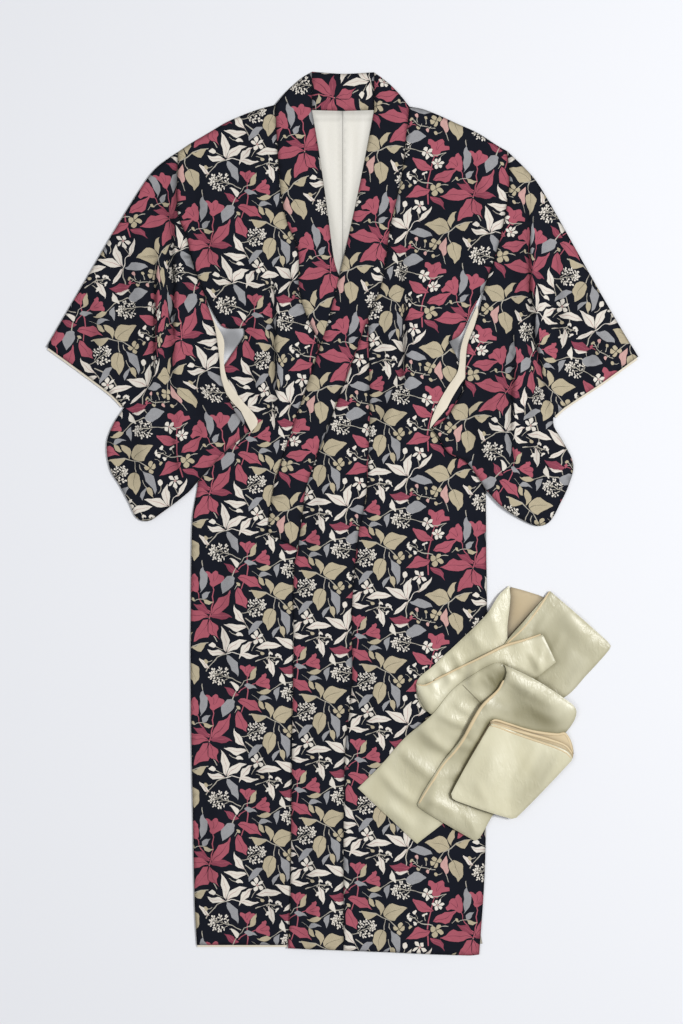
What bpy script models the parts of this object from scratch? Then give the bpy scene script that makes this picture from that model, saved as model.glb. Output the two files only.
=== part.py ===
# Lined kimono laid flat, left front over right front, with its half-width sash folded on the skirt.
# X runs across the garment, Y from the hem up to the neck, Z up from the surface that it lies on.
# "left" and "right" in the names are the wearer's, so a left piece lies on the +X side.

import math

import bpy
from mathutils import Vector
from mathutils.geometry import delaunay_2d_cdt

MM = 0.001

# Cloth thicknesses, in millimetres.
CLOTH = 1.5  # silk face and its lining together
COLLAR = 2.2  # the collar is folded over on itself
LINING = 1.0
SASH = 2.4  # face, stiffener and lining

# Clearances, in millimetres.
SEAM_GAP = 0.3
LAY_GAP = 0.3

# Heights of the undersides of the layers, in millimetres above the surface.
BACK_BASE = 0.0
FRONT_BASE = BACK_BASE + CLOTH + LAY_GAP
COLLAR_BASE = FRONT_BASE + LINING + LAY_GAP
OVERLAP_BASE = COLLAR_BASE + COLLAR + LAY_GAP
SLEEVE_LIFT = FRONT_BASE + CLOTH + 2 * LAY_GAP
SLEEVE_FRONT = COLLAR_BASE

# Mesh cells across and along the garment, in millimetres.
FINE_CELL = (16, 46)
WALL_CELL = (24, 45)
STRIP_CELL = (10, 20)
COARSE_CELL = (90, 110)
SASH_CELL = (19, 19)
OUTLINE_STEP = 24

# Where the folded-over left front lies on the right one: X and Y at which its height runs down.
OVERLAP_X = (150, 215)
COVERED_X = (-124, -96)  # the right front lies flat past these, where the left one covers it
COVERED_Y = (180, 330)  # and below these
OVERLAP_Y = (430, 520)
# Past the back's neck edge the collar runs down to the surface between these Y.
NECK_DROP_Y = (742, 780)

# Edges of the pieces as points (x, y) in millimetres, each a smooth curve that its two pieces share.
EDGES = {
    # shoulders, from the collar out to the sleeve seam
    "shoulder_l": [(120, 732), (149, 726), (211, 699), (242, 685), (280, 661), (296, 652)],
    "shoulder_r": [(-121, 735), (-154, 726), (-206, 705), (-240, 685), (-274, 665), (-296, 650)],
    # sleeve seams, downwards
    "armhole_l": [(296, 652), (300, 591), (283, 492), (256, 408)],
    "armhole_r": [(-296, 650), (-296, 539), (-281, 499), (-271, 456), (-247, 390)],
    # open side of the body under the arm, then the part that the sleeve covers
    "notch_l": [(256, 408), (232, 360), (213, 322), (192, 309)],
    "notch_r": [(-247, 390), (-227, 350), (-212, 334), (-178, 333)],
    "side_l": [(192, 309), (208, 276), (230, 204), (248, 132), (258, 42)],
    "side_r": [(-178, 333), (-177, 321), (-213, 264), (-230, 204), (-248, 130), (-262, 42)],
    # side seams down to the hem
    "skirt_l": [(258, 42), (259, -84), (260, -156), (258, -566), (255, -665), (246, -793)],
    "skirt_r": [(-262, 42), (-270, -10), (-273, -192), (-273, -336), (-269, -555), (-266, -701), (-262, -776)],
    # neck opening: inner edges of the two collars, down to where they cross
    "neck_l": [(57, 726), (35, 611), (15, 517), (1, 456), (-6, 426)],
    "neck_r": [(-55, 726), (-42, 649), (-26, 537), (-15, 456), (-6, 426)],
    # the upper collar's free edge and slanting end, and its seam with the front
    "collar_free": [(-6, 426), (-28, 339), (-66, 224), (-105, 109), (-123, 51), (-136, -33)],
    "collar_end": [(-136, -33), (-80, -64)],
    "collar_seam_l": [(120, 732), (116, 690), (105, 600), (85, 510), (71, 415), (46, 352)],
    "collar_seam_o": [(46, 352), (19, 276), (-22, 166), (-64, 51), (-73, -12), (-80, -64)],
    # the lower collar: its seam with the right front, then its hidden run
    "collar_seam_r": [(-121, 735), (-112, 589), (-100, 525), (-80, 474), (-78, 402), (-66, 360), (-45, 315)],
    "collar_seam_h": [(-45, 315), (-25, 260), (25, 150), (68, 30), (84, -62)],
    "collar_end_h": [(84, -62), (136, -30)],
    "collar_free_h": [(136, -30), (125, 50), (80, 190), (30, 330), (-6, 426)],
    # collar over the shoulder and behind the neck
    "peak_l": [(120, 732), (100, 757), (80, 777), (57, 794)],
    "peak_r": [(-121, 735), (-100, 760), (-75, 783), (-55, 795)],
    "nape": [(57, 794), (0, 791), (-55, 795)],
    "nape_seam": [(57, 726), (0, 724), (-55, 726)],
    # seams of the front overlap panels, downwards
    "overlap_l": [(46, 352), (49, 190), (46, 91), (42, 28), (28, -40), (17, -174), (17, -307), (4, -440), (2, -785)],
    "overlap_r": [(-45, 315), (-40, 200), (-38, 60), (-28, -100), (-18, -400), (-12, -776)],
    "front_edge_l": [(-80, -64), (-87, -96), (-88, -228), (-91, -444), (-94, -700), (-98, -781)],
    "front_edge_r": [(84, -62), (86, -300), (84, -776)],
    # hems, outwards from the overlap
    "hem_overlap_l": [(-98, -781), (2, -785)],
    "hem_l": [(2, -785), (103, -789), (230, -795), (246, -793)],
    "hem_r": [(-262, -776), (-12, -776)],
    "hem_overlap_r": [(-12, -776), (84, -776)],
    # sleeves: the fold over the arm, the cuff, the pouch below it and the inner edge
    "arm_l": [(296, 652), (341, 607), (364, 573), (424, 467), (471, 384), (508, 321), (532, 282)],
    "arm_r": [(-296, 650), (-332, 624), (-354, 598), (-411, 507), (-449, 442), (-490, 372), (-532, 300)],
    "cuff_l": [(532, 282), (467, 235), (399, 190), (379, 172)],
    "cuff_r": [(-532, 300), (-470, 255), (-415, 213), (-393, 190)],
    "pouch_l": [(379, 172), (380, 157), (395, 132), (415, 88), (406, 49), (390, 15), (375, -12),
                (360, -22), (340, -20), (289, 10), (258, 42)],
    "pouch_r": [(-393, 190), (-413, 159), (-424, 125), (-418, 80), (-400, 49), (-384, 19), (-370, -8),
                (-350, -14), (-328, -1), (-278, 37), (-260, 57)],
    "inner_l": [(258, 42), (242, 67), (220, 94), (190, 109), (170, 140), (158, 152)],
    "inner_r": [(-260, 57), (-229, 91), (-213, 109), (-183, 134), (-168, 148)],
    "opening_l": [(158, 152), (183, 168), (206, 202), (219, 229), (221, 265), (225, 305), (238, 339), (256, 408)],
    "opening_r": [(-168, 148), (-197, 190), (-217, 240), (-221, 280), (-229, 334), (-237, 360), (-247, 390)],
}

# The back's neck and hem, where the fronts and the collar hide them.
NAPE_Y = 724
NECK_HALF = 56
BACK_HEM = -774
BACK_HEM_HALF = 252
BACK_SIDE_END = 10  # its side edges stop this far above its hem's corners
NECK_RISE = 2  # the back's neck edge is this much higher at its sides

# Sleeve linings at the open inner edge: the edge that stands out past the front wall.
LINING_EDGES = {
    "l": [(156, 151), (160, 170), (174, 202), (190, 229), (207, 256), (213, 300), (226, 338), (243, 376)],
    "r": [(-164, 146), (-152, 166), (-181, 204), (-206, 240), (-213, 272), (-213, 312), (-229, 344), (-246, 384)],
}
LINING_REACH = 20  # how far a lining strip runs in under the cloth
LINING_END = 2  # points of its edge left off at each end of that run
NECK_LINING = [(0, 724), (74, 726), (56, 620), (42, 520), (30, 456), (0, 410)]  # half of it, the same on both sides
COLLAR_PEAKS = {"l": (57, 794), "r": (-55, 795)}  # where the collar's halves meet the nape's upper edge
NAPE_CORNER = (57, 726)
CUFF_LINING = 3.6  # how far the lining stands out at cuff and hem
CUFF_END = 4  # the cuff's lining stops this far short of its corners
HEM_LINING_X = (-261, -99)

# The main folds of each piece: a soft ridge from (x1, y1) to (x2, y2), its height and half width.
FOLDS = {
    "front_l": [
        # x1, y1, x2, y2, height, half width
        (92, 395, 74, 150, 6.5, 15),
        (138, 420, 112, 120, 7.0, 17),
        (176, 520, 168, 190, 4.0, 22),
        (228, 560, 236, 430, 3.0, 20),
        (66, 40, 62, -160, 3.0, 17),
        (150, 60, 168, -90, 3.0, 30),
        (206, -560, 214, -760, 2.5, 26),
        (70, -470, 64, -770, 2.6, 22),
    ],
    "front_r": [
        (-150, 470, -146, 120, 7.5, 15),
        (-104, 420, -100, 200, 6.0, 13),
        (-206, 560, -196, 400, 4.0, 20),
        (-190, 60, -205, -160, 3.5, 26),
        (-140, -160, -138, -520, 3.0, 20),
        (-214, -380, -222, -740, 3.0, 24),
        (-130, -560, -124, -770, 3.0, 18),
    ],
    "overlap_l": [
        (-30, 60, -52, -200, 3.0, 18),
        (-46, -260, -50, -560, 2.6, 16),
        (-44, -620, -48, -770, 3.0, 16),
    ],
    "sleeve_l": [
        (330, 520, 318, 240, 8.0, 17),
        (368, 490, 356, 330, 9.0, 14),
        (348, 320, 350, 120, 7.0, 15),
        (300, 330, 296, 130, 5.0, 20),
        (420, 400, 400, 260, 4.0, 24),
        (392, 130, 372, 30, 4.0, 20),
    ],
    "sleeve_r": [
        (-366, 520, -356, 260, 8.0, 17),
        (-326, 540, -322, 180, 8.0, 18),
        (-288, 470, -292, 330, 6.0, 14),
        (-352, 230, -346, 60, 6.0, 18),
        (-296, 300, -286, 110, 5.0, 15),
        (-430, 380, -412, 290, 4.0, 26),
    ],
    "nape": [(-45, 762, 45, 762, 4.0, 26)],
}

# Body folds die out towards a sleeve or the sash, whose weight presses the cloth flat.
PRESSED = (14, 50)
# The body's side edge under a sleeve: its distance from the middle at the top and bottom of its Y range.
SIDE_EDGE = (213, 262)
SIDE_EDGE_Y = (42, 264)
# How the sleeves' inner parts come down from the body's front: distances out from its side edge, and Y.
SLEEVE_DROP_X = (16, 110)
SLEEVE_DROP_Y = (290, 430)

# The sash, as its visible stretches from the lowest up, each with its outline's corners in millimetres.
SASH_PIECES = {
    "sash_turn": [(303, -132), (292, -150), (288, -197), (282, -236), (330, -250), (385, -230), (376, -170),
                  (366, -153), (332, -140)],
    "sash_rise": [(300, -129), (281, -146), (258, -181), (210, -229), (165, -271), (132, -307),
                  (158, -358), (230, -318), (290, -262), (297, -197), (302, -152)],
    "sash_fall": [(373, -139), (330, -188), (286, -240), (262, -290), (330, -352), (398, -332), (440, -290),
                  (477, -249), (483, -238), (478, -231), (430, -188)],
    "sash_end": [(132, -305), (150, -305), (206, -276), (287, -239), (354, -219), (359, -217), (362, -221),
                 (382, -263), (384, -267), (380, -270), (345, -297), (290, -330), (220, -372), (162, -362),
                 (140, -335)],
    "sash_long": [(27, -493), (69, -451), (111, -403), (159, -361), (197, -316), (236, -287), (271, -268),
                  (287, -268), (340, -298), (390, -336), (396, -350), (330, -410), (200, -540), (140, -588),
                  (134, -593), (129, -589)],
    "sash_loop": [(289, -270), (293, -284), (283, -307), (249, -342), (229, -374), (210, -406), (175, -451),
                  (134, -520), (140, -529), (228, -583), (239, -588), (246, -584), (273, -538),
                  (330, -470), (402, -393), (418, -368), (419, -350), (402, -334), (345, -297)],
    "sash_bundle_low": [(269, -367), (262, -374), (197, -500), (200, -508), (206, -512), (303, -544), (312, -541),
                        (404, -446), (416, -432), (402, -394), (384, -396), (335, -391)],
    "sash_bundle_middle": [(267, -370), (262, -376), (195, -500), (198, -508), (204, -513), (303, -546),
                           (312, -544), (410, -444), (415, -434), (401, -416), (338, -393)],
    "sash_bundle_top": [(266, -374), (261, -380), (194, -501), (196, -509), (203, -514), (303, -548), (312, -546),
                        (411, -444), (413, -438), (400, -424), (335, -400)],
}
SASH_LINING_UP = ("sash_turn",)
SASH_GAP = 0.8
SASH_DRAPE = (18, 70)  # an upper stretch comes down from a lower one's edge between these distances
# How far a stretch stands up on its own: along a line (x1, y1, x2, y2), its height and half width.
SASH_SWELLS = {
    "sash_rise": [(160, -322, 176, -345, 2.0, 18)],
    "sash_fall": [(400, -180, 440, -225, 3.0, 34)],
    "sash_long": [(120, -440, 190, -520, 1.5, 30)],
    "sash_loop": [(262, -330, 218, -398, 6.0, 26), (286, -296, 340, -318, 6.5, 24),
                  (360, -330, 408, -366, 4.0, 24), (150, -512, 240, -570, 3.5, 20)],
    "sash_bundle_top": [(255, -440, 350, -480, 2.0, 60)],
}
SIDE_SEAM_X = (264, 308)  # past the body's side the sash comes down to the surface

MATERIALS = {
    # name: colour as red, green, blue; roughness
    "print_silk": ((0.030, 0.034, 0.045), 0.62),
    "lining_silk": ((0.86, 0.82, 0.74), 0.55),
    "sash_satin": ((0.62, 0.63, 0.46), 0.34),
    "sash_lining": ((0.80, 0.70, 0.52), 0.45),
}


def clear_scene():
    for item in list(bpy.data.objects):
        bpy.data.objects.remove(item, do_unlink=True)


def make_material(name):
    colour, roughness = MATERIALS[name]
    material = bpy.data.materials.new(name)
    material.use_nodes = True
    shader = material.node_tree.nodes["Principled BSDF"]
    shader.inputs["Base Color"].default_value = (*colour, 1.0)
    shader.inputs["Roughness"].default_value = roughness
    shader.inputs["Metallic"].default_value = 0.0
    return material


def smooth_step(low, high, value):
    part = min(max((value - low) / (high - low), 0.0), 1.0)
    return part * part * (3.0 - 2.0 * part)


def smooth_curve(points, step=OUTLINE_STEP):
    """Points along the smooth curve that passes through the given ones, about a step apart."""
    curve = []
    last = len(points) - 1
    for i in range(last):
        before = Vector(points[max(i - 1, 0)])
        start = Vector(points[i])
        end = Vector(points[i + 1])
        after = Vector(points[min(i + 2, last)])
        pieces = max(1, round((end - start).length / step))
        for k in range(pieces):
            t = k / pieces
            # Each end slope is limited by its own span, so that close points make no loop.
            lean_in = (end - before) * 0.5 if i else end - start
            lean_out = (after - start) * 0.5 if i + 1 < last else end - start
            span = (end - start).length
            lean_in = lean_in.normalized() * span
            lean_out = lean_out.normalized() * span
            curve.append(
                start * (2 * t**3 - 3 * t**2 + 1)
                + lean_in * (t**3 - 2 * t**2 + t)
                + end * (3 * t**2 - 2 * t**3)
                + lean_out * (t**3 - t**2)
            )
    curve.append(Vector(points[-1]))
    return curve


def outline_of(*names):
    """Joins named edges into one closed outline; a name that starts with - is run backwards."""
    outline = []
    for name in names:
        points = smooth_curve(EDGES[name.lstrip("-")])
        if name.startswith("-"):
            points.reverse()
        outline.extend(points[:-1])
    return outline


def signed_area(outline):
    return 0.5 * sum(a.x * b.y - b.x * a.y for a, b in zip(outline, outline[1:] + outline[:1]))


def inset(outline, distance):
    """Moves each point of the outline inwards, so that pieces which share an edge keep a seam gap."""
    if signed_area(outline) < 0:
        outline = outline[::-1]
    moved = []
    for i, point in enumerate(outline):
        ahead = (outline[(i + 1) % len(outline)] - point).normalized()
        behind = (point - outline[i - 1]).normalized()
        inward = Vector((-ahead.y - behind.y, ahead.x + behind.x))
        if inward.length < 1e-6:
            inward = Vector((-ahead.y, ahead.x))
        inward.normalize()
        cosine = max(inward.dot(Vector((-ahead.y, ahead.x))), 0.4)
        moved.append(point + inward * (distance / cosine))
    return moved


def inside(outline, x, y):
    found = False
    for a, b in zip(outline, outline[1:] + outline[:1]):
        if (a.y > y) != (b.y > y) and x < a.x + (y - a.y) * (b.x - a.x) / (b.y - a.y):
            found = not found
    return found


def distance_to(x, y, ax, ay, bx, by):
    """Distance from a point to the line from a to b, and how far along it the nearest point is."""
    dx, dy = bx - ax, by - ay
    along = ((x - ax) * dx + (y - ay) * dy) / (dx * dx + dy * dy)
    near = min(max(along, 0.0), 1.0)
    return math.hypot(x - ax - near * dx, y - ay - near * dy), near


def ridges(rows, x, y):
    """Height of the soft ridges at a point: each falls off sideways and towards its ends."""
    total = 0.0
    for x1, y1, x2, y2, height, half_width in rows:
        away, along = distance_to(x, y, x1, y1, x2, y2)
        fade = 0.35 + 0.65 * math.sin(math.pi * along) ** 0.5
        total += height * fade * math.exp(-((away / half_width) ** 2))
    return total


def distance_outside(outline, x, y):
    """How far a point lies outside an outline, and 0 inside it."""
    if inside(outline, x, y):
        return 0.0
    sides = zip(outline, outline[1:] + outline[:1])
    return min(distance_to(x, y, a.x, a.y, b.x, b.y)[0] for a, b in sides)


def body_folds(rows, weights):
    """The fold height of a body piece, which is nothing where one of the weights lies on it."""

    def height(x, y):
        free = min(smooth_step(*PRESSED, distance_outside(weight, x, y)) for weight in weights)
        return ridges(rows, x, y) * free

    return height


def cloth_piece(name, outline, base, thickness, material, cell=FINE_CELL, gap=SEAM_GAP):
    """A closed wall of cloth: the outline, inset for its seams, at the height that base(x, y) gives."""
    outline = inset(outline, gap / 2)
    points = list(outline)
    low_x, high_x = min(p.x for p in outline), max(p.x for p in outline)
    low_y, high_y = min(p.y for p in outline), max(p.y for p in outline)
    clear = 0.35 * min(cell)
    for row in range(math.floor(low_y / cell[1]), math.ceil(high_y / cell[1]) + 1):
        for column in range(math.floor(low_x / cell[0]), math.ceil(high_x / cell[0]) + 1):
            x, y = (column + 0.5 * (row % 2)) * cell[0], row * cell[1]
            if not inside(outline, x, y):
                continue
            sides = zip(outline, outline[1:] + outline[:1])
            if min(distance_to(x, y, a.x, a.y, b.x, b.y)[0] for a, b in sides) > clear:
                points.append(Vector((x, y)))
    rim = list(range(len(outline)))
    flat, _, faces, *_ = delaunay_2d_cdt(points, [], [rim], 1, 1e-6)
    count = len(flat)
    heights = [base(p.x, p.y) for p in flat]
    verts = [(p.x * MM, p.y * MM, (z + thickness) * MM) for p, z in zip(flat, heights)]
    verts += [(p.x * MM, p.y * MM, z * MM) for p, z in zip(flat, heights)]
    polygons = [list(face) for face in faces]
    polygons += [[i + count for i in reversed(face)] for face in faces]
    used = {(face[i], face[(i + 1) % len(face)]) for face in faces for i in range(len(face))}
    for a, b in sorted(used):
        if (b, a) not in used:
            polygons.append([b, a, a + count])
            polygons.append([b, a + count, b + count])
    mesh = bpy.data.meshes.new(name)
    mesh.from_pydata(verts, [], polygons)
    mesh.validate()
    mesh.materials.append(material)
    mesh.shade_smooth()
    mesh.set_sharp_from_angle(angle=math.radians(40))
    item = bpy.data.objects.new(name, mesh)
    bpy.context.scene.collection.objects.link(item)
    return item


def overlap_height(x, y):
    """How far the left front is raised where the right front and its collar lie under it."""
    across = 1 - smooth_step(*OVERLAP_X, x)
    up = 1 - smooth_step(*OVERLAP_Y, y)
    return (OVERLAP_BASE - FRONT_BASE) * across * up


def upper_collar_height(x, y):
    """The left collar lies on the lining at the neck and on the right front below it."""
    up = 1 - smooth_step(*OVERLAP_Y, y)
    return COLLAR_BASE + (OVERLAP_BASE - COLLAR_BASE) * up - neck_drop(y)


def lower_collar_height(x, y):
    """The right collar lies on the lining all the way."""
    return COLLAR_BASE - neck_drop(y)


def nape_height(x, y):
    """Behind the neck the collar lies on the surface, rounded up between its edges."""
    return ridges(FOLDS["nape"], x, y)


def neck_drop(y):
    """Past the back's neck edge the collar comes down to the surface."""
    return COLLAR_BASE * smooth_step(*NECK_DROP_Y, y)


def sleeve_lift(x, y):
    """A sleeve's inner part lies on the body's front, which is higher on the left side."""
    edge = SIDE_EDGE[0] + (SIDE_EDGE[1] - SIDE_EDGE[0]) * (1 - smooth_step(*SIDE_EDGE_Y, y))
    over = 1 - smooth_step(edge + SLEEVE_DROP_X[0], edge + SLEEVE_DROP_X[1], abs(x))
    low = 1 - smooth_step(*SLEEVE_DROP_Y, y)
    return (SLEEVE_LIFT + (overlap_height(x, y) if x > 0 else 0)) * over * low


def flat_at(height):
    """The height of a piece that lies flat."""
    return lambda x, y: height


def body_pieces(silk):
    cloth_piece("back_left", back_half("l"), flat_at(BACK_BASE), CLOTH, silk, COARSE_CELL)
    cloth_piece("back_right", back_half("r"), flat_at(BACK_BASE), CLOTH, silk, COARSE_CELL)

    weights = [sleeve_reach("l"), sleeve_reach("r")]
    weights += [smooth_curve(corners + corners[:1])[:-1] for corners in SASH_PIECES.values()]
    folds_r = body_folds(FOLDS["front_r"], weights)
    folds_l = body_folds(FOLDS["front_l"], weights)
    folds_o = body_folds(FOLDS["overlap_l"], weights)

    def right_height(x, y):
        # The right front lies flat where the left one covers it.
        covered = smooth_step(*COVERED_X, x) * (1 - smooth_step(*COVERED_Y, y))
        return FRONT_BASE + folds_r(x, y) * (1 - covered)

    right = outline_of("-shoulder_r", "collar_seam_r", "overlap_r", "-hem_r", "-skirt_r", "-side_r", "-notch_r",
                       "-armhole_r")
    cloth_piece("front_right", right, right_height, CLOTH, silk)
    hidden = outline_of("-overlap_r", "collar_seam_h", "front_edge_r", "-hem_overlap_r")
    cloth_piece("overlap_right", hidden, flat_at(FRONT_BASE), CLOTH, silk, COARSE_CELL)

    def left_height(x, y):
        return FRONT_BASE + overlap_height(x, y) + folds_l(x, y)

    def upper_height(x, y):
        return OVERLAP_BASE + folds_o(x, y)

    left = outline_of("shoulder_l", "armhole_l", "notch_l", "side_l", "skirt_l", "-hem_l", "-overlap_l",
                      "-collar_seam_l")
    cloth_piece("front_left", left, left_height, CLOTH, silk)
    upper = outline_of("overlap_l", "-hem_overlap_l", "-front_edge_l", "-collar_seam_o")
    cloth_piece("overlap_left", upper, upper_height, CLOTH, silk)


def back_half(side):
    """The outline of half the back, which ends a little short of the fronts' hems."""
    sign = 1 if side == "l" else -1
    outline = [Vector((0, NAPE_Y)), Vector((sign * NECK_HALF, NAPE_Y + NECK_RISE))]
    for name in ("shoulder", "armhole", "notch", "side", "skirt"):
        outline.extend(smooth_curve(EDGES[f"{name}_{side}"])[:-1])
    outline = [point for point in outline if point.y > BACK_HEM + BACK_SIDE_END]
    outline.append(Vector((sign * BACK_HEM_HALF, BACK_HEM)))
    outline.append(Vector((0, BACK_HEM)))
    return outline


def sleeve_reach(side):
    """The outline of all that a sleeve and its lining cover."""
    names = [f"{edge}_{side}" for edge in ("arm", "cuff", "pouch", "inner")]
    lining = smooth_curve(LINING_EDGES[side])
    return outline_of(*names) + lining + outline_of(f"-armhole_{side}")


def collar_pieces(silk):
    upper = outline_of("neck_l", "collar_free", "collar_end", "-collar_seam_o", "-collar_seam_l", "peak_l")
    upper.append(Vector(COLLAR_PEAKS["l"]))
    cloth_piece("collar_left", upper, upper_collar_height, COLLAR, silk, WALL_CELL)
    lower = outline_of("neck_r", "-collar_free_h", "-collar_end_h", "-collar_seam_h", "-collar_seam_r", "peak_r")
    lower.append(Vector(COLLAR_PEAKS["r"]))
    cloth_piece("collar_right", lower, lower_collar_height, COLLAR, silk, WALL_CELL)
    nape = outline_of("nape")
    nape.append(Vector(COLLAR_PEAKS["r"]))
    nape += outline_of("-nape_seam")
    nape.append(Vector(NAPE_CORNER))
    cloth_piece("collar_back", nape, nape_height, COLLAR, silk)


def sleeve_pieces(silk, lining):
    for side, short, sign in (("left", "l", 1), ("right", "r", -1)):
        folds = FOLDS[f"sleeve_{short}"]
        names = [f"{edge}_{short}" for edge in ("arm", "cuff", "pouch", "inner", "opening")]
        outline = outline_of(*names, f"-armhole_{short}")

        def front_height(x, y, folds=folds):
            return SLEEVE_FRONT + sleeve_lift(x, y) + ridges(folds, x, y)

        cloth_piece(f"sleeve_{side}_back", outline, sleeve_lift, CLOTH, silk, WALL_CELL)
        cloth_piece(f"sleeve_{side}_front", outline, front_height, CLOTH, silk)

        # The lining rolls out along the open inner edge and runs in between the sleeve's walls.
        edge = smooth_curve(LINING_EDGES[short])
        inner = [point + Vector((sign * LINING_REACH, 0)) for point in edge[LINING_END:-LINING_END]]
        strip = edge + inner[::-1]
        cloth_piece(f"lining_sleeve_{side}", strip, lining_height, LINING, lining, STRIP_CELL)

        # At the cuff it stands out by a few millimetres all along.
        cuff = smooth_curve(EDGES[f"cuff_{short}"])
        run = (cuff[-1] - cuff[0]).normalized()
        out = Vector((-run.y, run.x)) * sign
        ends = [cuff[0] + run * CUFF_END] + cuff[1:-1] + [cuff[-1] - run * CUFF_END]
        band = [point + out * CUFF_LINING for point in ends]
        band += [point - out * LINING_REACH for point in reversed(ends)]
        cloth_piece(f"lining_cuff_{side}", band, lining_height, LINING, lining, COARSE_CELL)


def lining_height(x, y):
    """A sleeve's lining lies on its back wall."""
    return FRONT_BASE + sleeve_lift(x, y)


def lining_pieces(lining):
    for side, sign in (("left", 1), ("right", -1)):
        half = [Vector((sign * x, y)) for x, y in NECK_LINING]
        cloth_piece(f"lining_back_{side}", half, flat_at(FRONT_BASE), LINING, lining, COARSE_CELL)
    low, high = HEM_LINING_X
    top = EDGES["hem_r"][0][1]
    hem = [Vector((low, top - CUFF_LINING)), Vector((high, top - CUFF_LINING)), Vector((high, top)),
           Vector((low, top))]
    cloth_piece("lining_hem", hem, flat_at(FRONT_BASE), CLOTH, lining, COARSE_CELL)


def sash_ground(x, y):
    """Underside of a stretch that lies on the garment, or on the bare surface past its side seam."""
    over = 1 - smooth_step(*SIDE_SEAM_X, x)
    return (FRONT_BASE + CLOTH + SASH_GAP + overlap_height(x, y)) * over


def stacked_height(lower, swells):
    """Underside of a stretch that lies on the lower ones: it drapes over their edges down to the ground."""
    known = {}

    def height(x, y):
        if (x, y) not in known:
            level = sash_ground(x, y)
            ground = level
            for outline, top in lower:
                near = 1 - smooth_step(*SASH_DRAPE, distance_outside(outline, x, y))
                if near > 0:
                    level = max(level, ground + (top(x, y) + SASH_GAP - ground) * near)
            known[x, y] = level + ridges(swells, x, y)
        return known[x, y]

    return height


def sash_pieces(satin, lining):
    lower = []
    for name, corners in SASH_PIECES.items():
        outline = smooth_curve(corners + corners[:1])[:-1]
        height = stacked_height(list(lower), SASH_SWELLS.get(name, []))
        material = lining if name in SASH_LINING_UP else satin
        cloth_piece(name, outline, height, SASH, material, SASH_CELL)
        lower.append((outline, lambda x, y, height=height: height(x, y) + SASH))


def main():
    clear_scene()
    materials = {name: make_material(name) for name in MATERIALS}
    body_pieces(materials["print_silk"])
    collar_pieces(materials["print_silk"])
    sleeve_pieces(materials["print_silk"], materials["lining_silk"])
    lining_pieces(materials["lining_silk"])
    sash_pieces(materials["sash_satin"], materials["sash_lining"])


main()
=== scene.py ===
import math

import bpy
import numpy as np
from mathutils.geometry import delaunay_2d_cdt
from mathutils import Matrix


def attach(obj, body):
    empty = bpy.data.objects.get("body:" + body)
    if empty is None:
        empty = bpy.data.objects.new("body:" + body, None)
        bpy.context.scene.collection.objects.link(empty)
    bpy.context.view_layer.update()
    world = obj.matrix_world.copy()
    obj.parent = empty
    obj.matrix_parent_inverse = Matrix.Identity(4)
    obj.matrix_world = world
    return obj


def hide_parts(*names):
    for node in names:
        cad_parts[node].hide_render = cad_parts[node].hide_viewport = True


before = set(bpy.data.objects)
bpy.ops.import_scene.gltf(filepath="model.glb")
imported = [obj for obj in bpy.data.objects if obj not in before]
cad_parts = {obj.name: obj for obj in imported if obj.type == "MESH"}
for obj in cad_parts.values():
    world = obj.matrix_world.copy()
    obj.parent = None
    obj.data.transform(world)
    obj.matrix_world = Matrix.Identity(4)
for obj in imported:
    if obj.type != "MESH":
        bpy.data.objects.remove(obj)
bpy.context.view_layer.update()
scene = bpy.context.scene
mm = 0.001

print("frame loaded:", len(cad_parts), "solids")

# ---- small helpers ----


def linearColour(code):
    # sRGB hex to the linear values that shaders take
    parts = [int(code[i:i + 2], 16) / 255 for i in (1, 3, 5)]
    return [v / 12.92 if v <= 0.04045 else ((v + 0.055) / 1.055) ** 2.4 for v in parts]


def rgba(code):
    return (*linearColour(code), 1.0)


def addNode(tree, kind, links=(), **settings):
    # adds a node with its settings; each of links is (socket, node, its output) or (socket, constant)
    node = tree.nodes.new(kind)
    for name, value in settings.items():
        if hasattr(node, name):
            setattr(node, name, value)
        else:
            node.inputs[name.replace("_", " ")].default_value = value
    for socket, source, *output in links:
        if output:
            tree.links.new(source.outputs[output[0]], node.inputs[socket])
        else:
            node.inputs[socket].default_value = source
    return node


def addMath(tree, operation, *values):
    # a math node over numbers and (node, output) pairs; gives such a pair back
    node = addNode(tree, "ShaderNodeMath", operation=operation)
    for socket, value in zip(node.inputs, values):
        if isinstance(value, tuple):
            tree.links.new(value[0].outputs[value[1]], socket)
        else:
            socket.default_value = value
    return node, 0


def smoothStep(low, high, value):
    part = np.clip((np.asarray(value, float) - low) / (high - low), 0.0, 1.0)
    return part * part * (3.0 - 2.0 * part)


def hump(away, half):
    # 1 on a line and soft down to nothing beside it
    return np.exp(-((away / half) ** 2))


def endFade(along, least, power):
    # how much of a fold there is along its line: the least at its ends, all of it in the middle
    return least + (1 - least) * np.sin(math.pi * along).clip(0) ** power


def level(height):
    return lambda x, y: np.full(np.shape(x), float(height))


def curveThrough(points, step=7.0):
    # the smooth curve through the points; each end slope is limited by its own span, as in the solids
    points = np.array(points, float)
    last = len(points) - 1
    curve = []
    for i in range(last):
        start, end = points[i], points[i + 1]
        before, after = points[max(i - 1, 0)], points[min(i + 2, last)]
        span = np.linalg.norm(end - start)
        leanIn = (end - before) * 0.5 if i else end - start
        leanOut = (after - start) * 0.5 if i + 1 < last else end - start
        leanIn = leanIn / np.linalg.norm(leanIn) * span
        leanOut = leanOut / np.linalg.norm(leanOut) * span
        pieces = max(1, round(span / step))
        t = (np.arange(pieces) / pieces)[:, None]
        curve.append(start * (2 * t**3 - 3 * t**2 + 1) + leanIn * (t**3 - 2 * t**2 + t)
                     + end * (3 * t**2 - 2 * t**3) + leanOut * (t**3 - t**2))
    return np.vstack(curve + [points[-1:]])


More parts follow.
